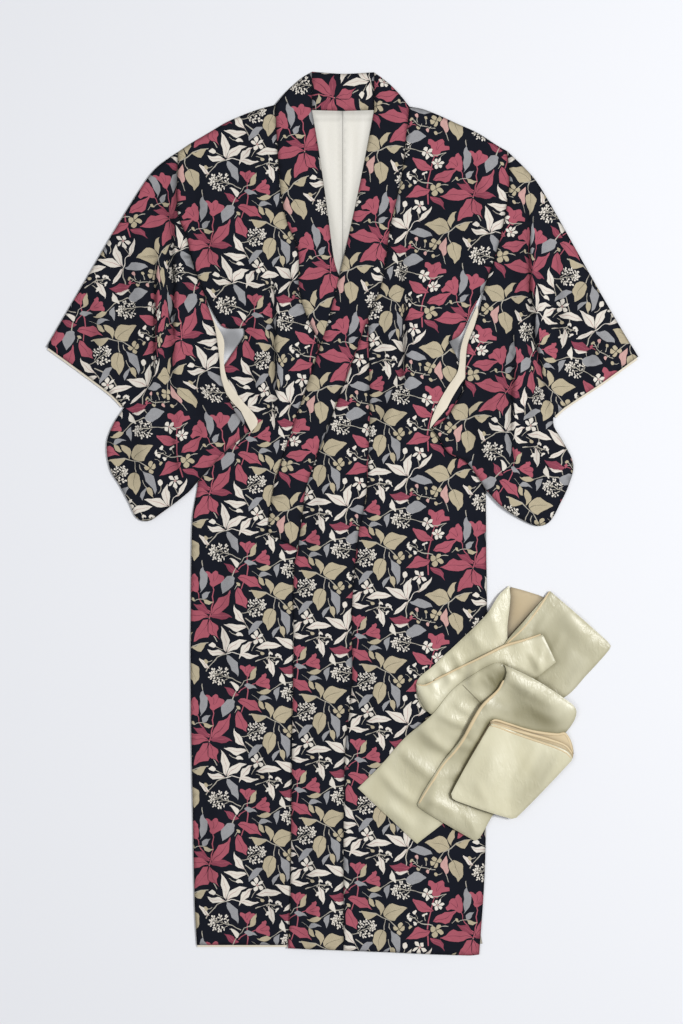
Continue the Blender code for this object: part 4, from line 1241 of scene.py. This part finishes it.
def collarPiece(name, node, part, outline, base, restsOn, coveredY=None):
    outline = np.vstack(outline)

    def height(x, y):
        inner = rimAway(outline, x, y) * isInside(outline, x, y)
        up = collar["crown"] * smoothStep(0, collar["crownReach"], inner)
        for row in collar[part]["creases"]:
            up = up + creaseHeight([row], x, y) * smoothStep(0, collar["creaseReach"], inner)
        return base(x, y) + (up * smoothStep(*coveredY, y) if coveredY else up)

    clothPiece(name, node, outline, heightMap(*boundsOf(outline), height), collar[part], restsOn, layers["collar"],
               wear=collar["wear"])


def makeCollar():
    low = layers["collarBase"]
    collarPiece("collarLeftBand", "collar_left", "left",
                [outlineOf("neckL", "collarFree", "collarEnd", "-collarSeamO", "-collarSeamL", "peakL"), [(57, 794)]],
                lambda x, y: low + (layers["overlap"] - low) * (1 - smoothStep(*layers["overlapY"], y)) - neckDrop(y),
                ["front_right", "lining_back_left"])
    collarPiece("collarRightBand", "collar_right", "right",
                [outlineOf("neckR", "-collarFreeH", "-collarEndH", "-collarSeamH", "-collarSeamR", "peakR"),
                 [(-55, 795)]],
                lambda x, y: low - neckDrop(y), ["lining_back_right"], collar["coveredY"])
    collarPiece("collarNapeBand", "collar_back", "nape",
                [outlineOf("nape"), [(-55, 795)], outlineOf("-napeSeam"), [(57, 726)]],
                lambda x, y: ridgeHeight(mainFolds["nape"], x, y), [])
    print("collar done")


# ---- the sleeves ----

sleeve = {
    "L": {
        "creases": [
            (6.5, 3.6, 0, 20, 0.50, (334, 560), (335, 418), (341, 343), (352, 278), (372, 180)),
            (4.5, 3.6, 0, 18, 0.50, (303, 330), (305, 247), (302, 158), (308, 80)),
            (2.6, 0, 8, 16, 0.30, (248, 560), (254, 519), (263, 455)),
            (3.0, 0, 8, 22, 0.22, (398, 500), (392, 420), (404, 300)),
            (2.6, 0, 20, 8, 0.18, (430, 420), (428, 350), (446, 270)),
            (2.2, 0, 9, 20, 0.18, (470, 320), (456, 280), (436, 220)),
            (2.4, 0, 16, 8, 0.20, (268, 300), (262, 200), (276, 110)),
            (2.0, 0, 8, 14, 0.22, (236, 200), (246, 130), (270, 70)),
            (1.8, 0, 14, 7, 0.18, (352, 150), (350, 90), (362, 30)),
        ],
        "lay": {"turn": -16, "anchor": (300, 400), "shift": (130, 20),
                "tucks": [(334, 560, 360, 200, 26), (303, 330, 308, 80, 16)]},
        "back": {"lay": {"turn": -16, "anchor": (300, 400), "shift": (10, 120)}},
    },
    "R": {
        "creases": [
            (6.5, 4.0, 0, 20, 0.60, (-300, 629), (-305, 480), (-303, 400), (-305, 300), (-306, 225)),
            (5.0, 3.8, 0, 17, 0.50, (-336, 470), (-338, 340), (-341, 260), (-356, 210)),
            (3.0, 3.0, 0, 14, 0.35, (-306, 160), (-300, 100), (-288, 56)),
            (2.8, 0, 7, 14, 0.25, (-330, 590), (-312, 540), (-296, 500)),
            (2.4, 0, 12, 8, 0.22, (-271, 492), (-276, 440), (-283, 380)),
            (2.8, 0, 22, 8, 0.22, (-398, 520), (-392, 400), (-400, 300)),
            (2.4, 0, 9, 22, 0.20, (-446, 390), (-440, 320), (-456, 250)),
            (2.0, 0, 8, 16, 0.20, (-372, 190), (-366, 130), (-372, 50)),
            (2.0, 0, 14, 8, 0.20, (-256, 260), (-250, 180), (-262, 100)),
        ],
        "lay": {"turn": 14, "anchor": (-300, 400), "shift": (70, 110),
                "tucks": [(-338, 470, -350, 210, 22), (-303, 600, -306, 225, 26)]},
        "back": {"lay": {"turn": 14, "anchor": (-300, 400), "shift": (200, 40)}},
    },
    "wear": ((0.5, 2.2),), "cell": 12.0,  # of the walls underneath
    "edgeLie": 0.35, "edgeReach": 40,     # how much of the folds there is at a wall's edge
    "reach": 20, "cuffLining": 3.6, "cuffEnd": 4,
}


def makeSleeves():
    for side, word, sign in (("L", "left", 1), ("R", "right", -1)):
        names = [edge + side for edge in ("arm", "cuff", "pouch", "inner", "opening")]
        outline = outlineOf(*names, "-armhole" + side)
        own, title, creases = sleeve[side], word.capitalize(), sleeve[side]["creases"]

        def height(x, y):
            lying = foldedHeight(mainFolds["sleeve" + side], creases, x, y)
            inner = smoothStep(0, sleeve["edgeReach"], rimAway(outline, x, y))
            return layers["sleeveFront"] + sleeveLift(x, y) \
                + lying * (sleeve["edgeLie"] + (1 - sleeve["edgeLie"]) * inner)

        clothPiece(f"sleeve{title}BackCloth", f"sleeve_{word}_back", outline,
                   heightMap(*boundsOf(outline), sleeveLift), own["back"], [f"front_{word}"], printed="bottom",
                   wear=sleeve["wear"], cell=sleeve["cell"])
        clothPiece(f"sleeve{title}FrontCloth", f"sleeve_{word}_front", outline,
                   heightMap(*boundsOf(outline), height, shadeOf=lambda x, y: foldShade(creases, x, y)), own,
                   [f"sleeve_{word}_back"])

        def liningHeight(x, y):
            return layers["front"] + sleeveLift(x, y)

        edge = curveThrough(liningEdges[side])
        strip = np.vstack([edge, (edge[6:-6] + (sign * sleeve["reach"], 0))[::-1]])
        liningPiece(f"sleeveLining{title}", f"lining_sleeve_{word}", strip, liningHeight, cell=5.0)
        cuff = curveThrough(edges["cuff" + side])
        run = (cuff[-1] - cuff[0]) / np.linalg.norm(cuff[-1] - cuff[0])
        out = np.array([-run[1], run[0]]) * sign
        ends = np.vstack([cuff[:1] + run * sleeve["cuffEnd"], cuff[1:-1], cuff[-1:] - run * sleeve["cuffEnd"]])
        band = np.vstack([ends + out * sleeve["cuffLining"], (ends - out * sleeve["reach"])[::-1]])
        liningPiece(f"cuffLining{title}", f"lining_cuff_{word}", band, liningHeight, cell=6.0)
    print("sleeves done")


# ---- the linings that show ----

lining = {
    "wear": ((0.4, 1.6),), "backCell": 16.0, "mapStep": 2.0,
    "neck": [(0, 724), (74, 726), (56, 620), (42, 520), (30, 456), (0, 410)],
    "opening": [(-55, 722), (-6, 426), (57, 722), (-55, 722)],
    "yoke": 708, "yokeHeight": 0.5, "yokeHalf": 3.0,  # the pressed seam across the top
    "folds": [  # height, half width on each side, points: soft pressed lines beside the centre seam
        (0.9, 4, 6, (10, 722), (9, 620), (4, 480)), (0.8, 8, 4, (-14, 700), (-12, 600), (-6, 500)),
        (0.9, 5, 9, (34, 720), (28, 640), (16, 540)), (0.7, 8, 5, (-36, 700), (-30, 620), (-22, 560)),
    ],
    "foldsFrom": 8,  # they start this far from the centre seam
    # shades: depth and half width under the collar, in the centre seam, beside it and in the seam across the top
    "underCollar": (0.30, 7.0), "centreSeam": (0.30, 1.3), "besideSeam": (0.12, 5.0), "topSeam": (0.14, 1.4),
    "besideBy": 4,
    "hem": (-261, -99), "hemOut": 3.6, "hemStep": 9.0,
}


def liningPiece(name, node, outline, height, cell, thickness=layers["lining"], shadeOf=None,
                material=hemSilk):
    outline = insetOutline(outline, layers["seam"])
    mesh = shellMesh(name, outline, heightMap(*boundsOf(outline), height, lining["mapStep"], shadeOf), thickness,
                     cell=cell, backCell=lining["backCell"], wear=lining["wear"], backMaterial=0)
    return layPiece(name, node, mesh, (material,), outline)


def makeLinings():
    opening = np.array(lining["opening"], float)

    def height(x, y):
        up = creaseHeight(lining["folds"], x, y) * smoothStep(0, lining["foldsFrom"], np.abs(x))
        return layers["front"] + up + lining["yokeHeight"] * hump(y - lining["yoke"], lining["yokeHalf"])

    def shadeOf(x, y):
        # the collar stands over the lining's edges, and a pressed seam runs down its middle and across its top
        places = {"underCollar": nearLine(opening, x, y)[0], "centreSeam": x, "besideSeam": x + lining["besideBy"],
                  "topSeam": y - lining["yoke"]}
        return sum(lining[name][0] * hump(away, lining[name][1]) for name, away in places.items())

    for word, sign in (("left", 1), ("right", -1)):
        half = np.array([(sign * x, y) for x, y in lining["neck"]], float)
        half = np.vstack([curveThrough([a, b], 9)[:-1] for a, b in zip(half, np.roll(half, -1, 0))])
        liningPiece(f"neckLining{word.capitalize()}", f"lining_back_{word}", half, height, cell=6.0,
                    shadeOf=shadeOf, material=liningSilk)
    print("linings done")


def makeHemLining():
    # the lining rolls out past the front's hem as a narrow cream edge
    west, east = lining["hem"]
    top = edges["hemR"][0][1]
    xs = [*np.arange(west, east, lining["hemStep"]), east]
    hem = np.array([*((x, top - lining["hemOut"]) for x in xs), (east, top), (west, top)])
    return liningPiece("hemLining", "lining_hem", hem, level(layers["front"]), cell=3.0, thickness=layers["cloth"])


# ---- the sash: a long band of satin, lined in cream, folded over itself ----

# Silk satin, warp-faced: smooth floats give a broad soft glow along the band, broken by fine self-woven crinkles.
satin = {
    "roughness": 0.34, "sheen": 0.05, "sheenRoughness": 0.35, "specular": 0.5,
    "colour": "#dcd8bf", "shade": "#bcb592",
    # painted shade: the colour that the satin goes over to down in its painted fold shade
    "deep": "#5f5830",  # light that has gone from fold to fold of the satin
    "turn": -43,        # the warp runs along the band, at this angle to X
    "stretch": (1.0, 0.5, 1.0), "clouds": 16.0,
    "crinkle": 0.009, "crinkleDepth": 0.0018,  # dents of about 5 mm, in patches
    "patches": 11.0, "patchEdge": (0.44, 0.60), "betweenPatches": 0.12,
    "streak": 0.004, "streakDepth": 0.0005, "streakStretch": (1.0, 0.2, 1.0),  # fine pulls across it, 4 mm apart
}
# The sash's lining: plain-woven silk, warmer than the garment's own.
sashLiningCloth = {
    "colour": "#dfcda9", "shade": "#cdb68d", "roughness": 0.5, "sheen": 0.1, "clouds": 24.0,
    "thread": 0.002, "weave": 0.06, "weaveDepth": 0.0003,
}


def makeSatin():
    material, tree, shader = clothMaterial("celadonSatin", satin["roughness"], satin["sheen"],
                                           satin["sheenRoughness"], satin["specular"])
    place = addNode(tree, "ShaderNodeTexCoord")
    turn = addNode(tree, "ShaderNodeMapping", [
        ("Vector", place, "Object"), ("Rotation", (0, 0, math.radians(satin["turn"]))), ("Scale", satin["stretch"])])
    crinkle = addNode(tree, "ShaderNodeTexNoise", [("Vector", turn, "Vector")], Scale=1 / satin["crinkle"],
                      Detail=3.0, Roughness=0.55, Distortion=0.8)
    patch = addNode(tree, "ShaderNodeTexNoise", [("Vector", place, "Object")], Scale=satin["patches"], Detail=1.0)
    low, high = satin["patchEdge"]
    where = addNode(tree, "ShaderNodeMapRange", [("Value", patch, "Fac")], From_Min=low, From_Max=high,
                    To_Min=satin["betweenPatches"])
    dents = addMath(tree, "MULTIPLY", (crinkle, "Fac"), (where, 0))
    bump = addNode(tree, "ShaderNodeBump", [("Height", *dents)], Strength=0.8, Distance=satin["crinkleDepth"])
    drawn = addNode(tree, "ShaderNodeMapping", [("Vector", turn, "Vector"), ("Scale", satin["streakStretch"])])
    pulls = addNode(tree, "ShaderNodeTexNoise", [("Vector", drawn, "Vector")], Scale=1 / satin["streak"], Detail=2.0)
    fine = addNode(tree, "ShaderNodeBump", [("Height", pulls, "Fac"), ("Normal", bump, "Normal")], Strength=0.5,
                   Distance=satin["streakDepth"])
    feedShader(tree, shader, cloudedColour(tree, (turn, "Vector"), satin["colour"], satin["shade"], satin["clouds"],
                                           satin["deep"]), fine)
    return material


celadonSatin = makeSatin()
sashLiningSilk = makePlainSilk("sashLiningSilk", sashLiningCloth)
# The seam across the sash: a thin dark tube that stands both for its thread, sunk between the two lengths, and for
# the painted shade in that groove, so it reads as a thin dark line.
seamWithGrooveShade, _, threadShader = clothMaterial("sashSeamWithShade", 0.8, 0.1, 0.5, 0.2)
threadShader.inputs["Base Color"].default_value = rgba("#6b6450")

sash = {
    "restsOn": {
        "sashTurn": [], "sashRise": ["front_left"], "sashFall": ["sash_turn"], "sashEnd": ["sash_rise", "sash_fall"],
        "sashLong": ["front_left"], "sashLoop": ["sash_long"], "sashBundleLow": ["sash_loop"],
        "sashBundleMiddle": ["sash_bundle_low"], "sashBundleTop": ["sash_bundle_middle"],
    },
    "liningUp": ("sashTurn", "sashBundleLow", "sashBundleMiddle"),
    "inset": 0.3, "cell": 5.0, "backCell": 14.0, "mapStep": 4.0, "wear": ((0.9, 2.4), (0.45, 6.0)), "edgeShade": 0.2,
    # painted shade on the pleats' slopes that turn from the light, lighter on those that turn to it: how much, the
    # way to the light and its bounds; the painted shadow beside a stretch that lies on top
    "slopeShade": 1.15, "light": (0.78, 0.62), "slopeShadeRange": (-0.10, 0.34), "contact": 0.32, "contactReach": 5.0,
    # painted shade laid evenly over each stretch, which lightens it below 0, then the places that lie in shade: x1,
    # y1, x2, y2, shade, half width
    "tone": {"sashFall": 0.20, "sashLoop": 0.18, "sashBundleTop": -0.12, "sashTurn": 0.22, "sashEnd": 0.03,
             "sashLong": 0.06},
    "shaded": {
        "sashTurn": [(300, -140, 292, -230, 0.28, 14), (366, -150, 300, -226, 0.22, 14)],
        "sashFall": [(318, -196, 432, -282, 0.18, 24)],
        "sashLong": [(292, -284, 266, -322, 0.76, 28), (170, -380, 236, -434, 0.18, 16),
                     (112, -420, 168, -470, 0.14, 14)],
        "sashLoop": [(262, -338, 384, -392, 0.34, 18), (300, -326, 376, -376, 0.14, 16),
                     (196, -470, 230, -490, 0.14, 20)],
        "sashBundleTop": [(376, -430, 318, -532, 0.36, 26), (250, -420, 214, -490, 0.06, 10)],
    },
    "wrinkles": {  # height, half width towards -X, half width towards +X, points from the top down
        "sashRise": [
            (1.8, 14, 18, (288, -160), (240, -215), (190, -268)), (2.2, 6, 9, (196, -246), (206, -262), (214, -286)),
            (2.4, 6, 8, (172, -268), (184, -284), (196, -306)), (1.8, 6, 8, (150, -290), (160, -306), (168, -322)),
            (1.6, 8, 9, (232, -206), (240, -226), (252, -246)), (1.7, 9, 7, (268, -176), (276, -200), (280, -226)),
        ],
        "sashFall": [
            (2.6, 18, 14, (392, -170), (430, -210), (462, -246)),
            (1.8, 12, 10, (352, -160), (330, -200), (300, -236)),
            (1.4, 6, 6, (374, -178), (358, -196), (346, -214)), (1.8, 12, 14, (420, -250), (396, -280), (372, -310)),
            (1.5, 7, 8, (396, -214), (384, -236), (366, -262)), (1.3, 7, 6, (440, -262), (420, -284), (404, -306)),
        ],
        "sashEnd": [
            (3.6, 9, 20, (134, -304), (148, -330), (162, -356)), (2.0, 7, 10, (206, -286), (192, -302), (176, -330)),
            (1.8, 6, 7, (240, -274), (232, -290), (226, -310)), (1.6, 8, 8, (290, -256), (300, -274), (296, -292)),
            (2.2, 5, 9, (334, -248), (346, -266), (354, -286)), (1.6, 4, 6, (358, -240), (354, -262), (352, -284)),
        ],
        "sashLong": [
            (5.0, 26, 26, (284, -276), (345, -305), (400, -345)),
            (3.0, 16, 22, (256, -296), (206, -352), (150, -420)),
            (3.0, 8, 12, (170, -356), (198, -372), (232, -384)), (3.4, 9, 13, (138, -384), (166, -410), (204, -432)),
            (3.0, 10, 13, (102, -420), (134, -452), (170, -478)), (2.4, 9, 12, (66, -458), (98, -496), (138, -524)),
            (2.4, 11, 12, (76, -520), (100, -540), (128, -566)), (2.2, 7, 9, (222, -318), (244, -330), (262, -346)),
            (1.6, 6, 8, (198, -336), (214, -350), (236, -362)), (2.0, 12, 10, (180, -450), (166, -500), (150, -556)),
            (0.9, 3, 4, (250, -292), (256, -300), (260, -308)), (0.9, 3, 4, (262, -286), (268, -294), (272, -302)),
        ],
        "sashLoop": [
            (5.0, 18, 60, (286, -298), (262, -328), (232, -372), (205, -424), (176, -456)),
            (2.6, 10, 15, (236, -372), (262, -366), (300, -352)), (2.2, 8, 10, (206, -420), (228, -416), (250, -404)),
            (2.2, 8, 9, (172, -470), (196, -470), (216, -458)), (2.2, 10, 12, (300, -296), (340, -322), (384, -352)),
            (2.4, 12, 12, (326, -334), (356, -356), (392, -372)), (1.8, 7, 9, (150, -510), (176, -520), (206, -540)),
            (1.6, 7, 9, (214, -530), (232, -556), (240, -578)),
        ],
        "sashBundleTop": [
            (1.7, 16, 20, (300, -400), (270, -452), (236, -504)), (1.5, 9, 11, (350, -412), (330, -452), (300, -500)),
            (1.2, 7, 8, (372, -424), (356, -448), (340, -470)), (1.2, 6, 7, (388, -434), (372, -462), (350, -490)),
            (1.0, 10, 8, (236, -470), (250, -500), (262, -524)),
        ],
    },
    # where the lining shows as a rolled edge: stretch, width, height, how far it stands above, points
    "edgeRolls": [
        ("sashFall", 4.0, 3.2, 0.2, (372, -140), (354, -168), (326, -204), (294, -234)),
        ("sashEnd", 4.6, 3.2, 0.2, (164, -299), (197, -283), (230, -267), (278, -243), (294, -236), (326, -227),
         (356, -217)),
        ("sashEnd", 3.0, 2.6, -0.4, (134, -306), (146, -308), (164, -300)),
        ("sashLoop", 6.0, 3.8, -0.2, (288, -298), (278, -316), (251, -342), (232, -373), (211, -413), (179, -453),
         (156, -489), (137, -520)),
        ("sashBundleLow", 5.0, 3.4, 0.0, (264, -373), (272, -369), (294, -376), (327, -387), (353, -393), (386, -397),
         (400, -396), (414, -430)),
        ("sashBundleMiddle", 5.0, 3.0, 0.6, (266, -375), (300, -386), (336, -396), (372, -406), (400, -417),
         (412, -431)),
        ("sashBundleTop", 3.8, 3.0, 0.2, (264, -378), (276, -381), (300, -391), (335, -403), (372, -416), (400, -429),
         (410, -439)),
    ],
    "rollRise": 0.5,
    # the cross seam's thread with the painted shade of its groove, in the same way
    "seam": ("sashLong", 1.1, 0.6, 0.1, (215, -307), (232, -324), (249, -341)),
    # a roll thins out towards its ends and swells a little on its way
    "rollSides": 8, "rollStep": 4.0, "rollEnd": 0.45, "rollSwell": 0.12,
}


def sashGround(x, y):
    over = 1 - smoothStep(*layers["sideSeamX"], x)
    return (layers["front"] + layers["cloth"] + layers["sashGap"] + overlapHeight(x, y)) * over


def underscored(name):
    return "".join("_" + c.lower() if c.isupper() else c for c in name)


def rollMesh(name, points, wide, tall, centreOf):
    # a closed tube with an oval section, which thins out towards its ends
    points = curveThrough(points, sash["rollStep"])
    count, sides = len(points), sash["rollSides"]
    run = np.gradient(points, axis=0)
    run /= np.linalg.norm(run, axis=1, keepdims=True)
    around = np.linspace(0, 2 * math.pi, sides + 1)[:-1]
    t = np.linspace(0, 1, count)
    size = endFade(t, sash["rollEnd"], 0.35)
    size *= 1 + sash["rollSwell"] * np.sin(9.0 * t + count)
    across = (0.5 * wide * size[:, None] * np.cos(around))[..., None] * np.c_[-run[:, 1], run[:, 0]][:, None, :]
    centre = centreOf(points)
    up = centre[:, None] + 0.5 * tall * size[:, None] * np.sin(around)
    verts = np.concatenate([points[:, None, :] + across, up[..., None]], -1).reshape(-1, 3)
    verts = np.vstack([verts, (*points[0], centre[0]), (*points[-1], centre[-1])])
    faces, last = [], count * sides
    for i in range(count - 1):
        for k in range(sides):
            a, b = i * sides + k, i * sides + (k + 1) % sides
            faces += [(a, b, b + sides), (a, b + sides, a + sides)]
    for k in range(sides):
        ahead = (k + 1) % sides
        faces += [(last, ahead, k), (last + 1, last - sides + k, last - sides + ahead)]
    mesh = bpy.data.meshes.new(name)
    mesh.from_pydata((verts * mm).tolist(), [], faces)
    mesh.validate()
    mesh.shade_smooth()
    return mesh


def layStretch(name, outline, lower):
    # a stretch lies on the ground and on the stretches under it, falling from one to the other
    above = list(sashOutlines)[list(sashOutlines).index(name) + 1:]

    def height(x, y):
        ground = sashGround(x, y)
        top = ground
        for border, surface in lower:
            near = 1 - smoothStep(*layers["sashDrape"], awayFrom(border, x, y))
            lift = mapHeight(surface, x, y) + layers["sash"] + layers["sashGap"] - ground
            top = np.where(near > 0, np.maximum(top, ground + lift * near), top)
        return top + ridgeHeight(sashSwells.get(name, []), x, y) + creaseHeight(sash["wrinkles"].get(name, []), x, y)

    def shadeOf(x, y):
        # painted shade: the stretch's own and its shaded places, with a thin painted shadow along the edges of the
        # stretches that lie on this one
        shade = sash["tone"].get(name, 0) + ridgeHeight(sash["shaded"].get(name, []), x, y)
        for upper in above:
            away = awayFrom(closedCurve(sashOutlines[upper]), x, y)
            shade = shade + sash["contact"] * hump(away, sash["contactReach"])
        return shade

    surface = heightMap(*boundsOf(outline), height, step=sash["mapStep"], shadeOf=shadeOf)
    # painted shade and light from the slopes: darker where a pleat turns from the light, lighter where it turns to it
    slopes = surface["layers"][..., 1] * sash["light"][0] + surface["layers"][..., 2] * sash["light"][1]
    surface["layers"][..., 3] += (sash["slopeShade"] * slopes).clip(*sash["slopeShadeRange"])
    return surface


def makeSash():
    lower = []
    for name, corners in sashOutlines.items():
        outline = closedCurve(corners)
        surface = layStretch(name, outline, lower)
        lower.append((outline, surface))
        node = underscored(name)

        def layEdge(title, material, wide, tall, lift, points):
            mesh = rollMesh(title, points, wide, tall, lambda p: readMap(surface, *p.T)[:, 0] + layers["sash"] + lift)
            return placeObject(title, node, mesh, [material])

        edgePieces = [layEdge(f"{name}Edge{k}", sashLiningSilk, wide, tall, lift - 0.5 * tall + sash["rollRise"],
                              points)
                      for k, (stretch, wide, tall, lift, *points) in enumerate(sash["edgeRolls"]) if stretch == name]
        stretch, wide, tall, lift, *points = sash["seam"]
        if stretch == name:
            edgePieces.append(layEdge(f"{name}Seam", seamWithGrooveShade, wide, tall, lift, points))
        inner = insetOutline(outline, sash["inset"])
        mesh = shellMesh(name + "Satin", inner, surface, layers["sash"], cell=sash["cell"], backCell=sash["backCell"],
                         wear=sash["wear"], edgeShade=sash["edgeShade"])
        slot, materials = "sash_satin", (celadonSatin, sashLiningSilk)
        if name in sash["liningUp"]:
            slot, materials = "sash_lining", materials[::-1]
        layPiece(name + "Satin", node, mesh, materials, inner)
    print("sash done")


# ---- floor, light and camera ----

studio = {
    "floor": "#e9eaed", "floorSide": 9.0, "floorDrop": 0.0004,
    "openings": [(-199, 314, 44, 0.66), (199, 303, 34, 0.74)],  # where little light gets down: x, y, reach, shade
    "cameraHeight": 3.0, "cameraAt": (-0.0018, 0.0027), "lens": 58.6, "sensor": 36.0, "clipEnd": 50,
    "world": "#f2f4f9", "worldStrength": 0.405,
    "lamps": [  # name, place, size, watts: soft light from the upper right, with a weaker one opposite
        ("keyLight", (3.0, 0.6, 4.3), 1.5, 200),
        ("fillLight", (-2.6, -0.6, 3.6), 2.6, 35),
    ],
    "lampAim": (0.0, 0.05, 0.0),
}


def makeFloor():
    bpy.ops.mesh.primitive_plane_add(size=studio["floorSide"], location=(0, 0, -studio["floorDrop"]))
    floor = bpy.context.object
    floor.name = "paleFloor"
    # matt painted board: pale, even, no gloss, but for the painted shadow in the two sleeve openings
    material, tree, shader = clothMaterial("paintedBoard", 0.9, 0.0, 0.5, 0.1)
    place = addNode(tree, "ShaderNodeTexCoord")
    tint = addNode(tree, "ShaderNodeRGB")
    tint.outputs[0].default_value = rgba(studio["floor"])
    # painted shadow on the floor, darker towards each opening's middle
    for x, y, reach, shade in studio["openings"]:
        away = addNode(tree, "ShaderNodeVectorMath", [(0, place, "Object"), (1, (x * mm, y * mm, 0))],
                       operation="DISTANCE")
        dim = addNode(tree, "ShaderNodeMapRange", [("Value", away, "Value")], interpolation_type="SMOOTHSTEP",
                      From_Min=0.2 * reach * mm, From_Max=reach * mm, To_Min=1 - shade)
        tint = addNode(tree, "ShaderNodeVectorMath", [(0, tint, 0), ("Scale", dim, 0)], operation="SCALE")
    feedShader(tree, shader, (tint, 0))
    floor.data.materials.append(material)


def makeStudio():
    makeFloor()
    world = bpy.data.worlds.new("studioWorld")
    world.use_nodes = True
    background = world.node_tree.nodes["Background"]
    background.inputs["Color"].default_value = rgba(studio["world"])
    background.inputs["Strength"].default_value = studio["worldStrength"]
    scene.world = world
    for name, place, size, watts in studio["lamps"]:
        lamp = bpy.data.lights.new(name, "AREA")
        lamp.shape = "DISK"
        lamp.size = size
        lamp.energy = watts
        item = bpy.data.objects.new(name, lamp)
        item.location = place
        x, y, z = np.array(studio["lampAim"]) - np.array(place)
        item.rotation_euler = (math.atan2(math.hypot(x, y), -z), 0, math.atan2(y, x) - math.pi / 2)
        scene.collection.objects.link(item)
    camera = bpy.data.cameras.new("overheadCamera")
    camera.lens = studio["lens"]
    camera.sensor_width = studio["sensor"]
    camera.clip_end = studio["clipEnd"]
    item = bpy.data.objects.new("overheadCamera", camera)
    item.location = (*studio["cameraAt"], studio["cameraHeight"])
    scene.collection.objects.link(item)
    scene.camera = item
    scene.view_settings.view_transform = "Standard"
    print("studio done")


makeBacks()
makeFronts()
makeSleeves()
makeLinings()
makeCollar()
makeSash()
makeStudio()
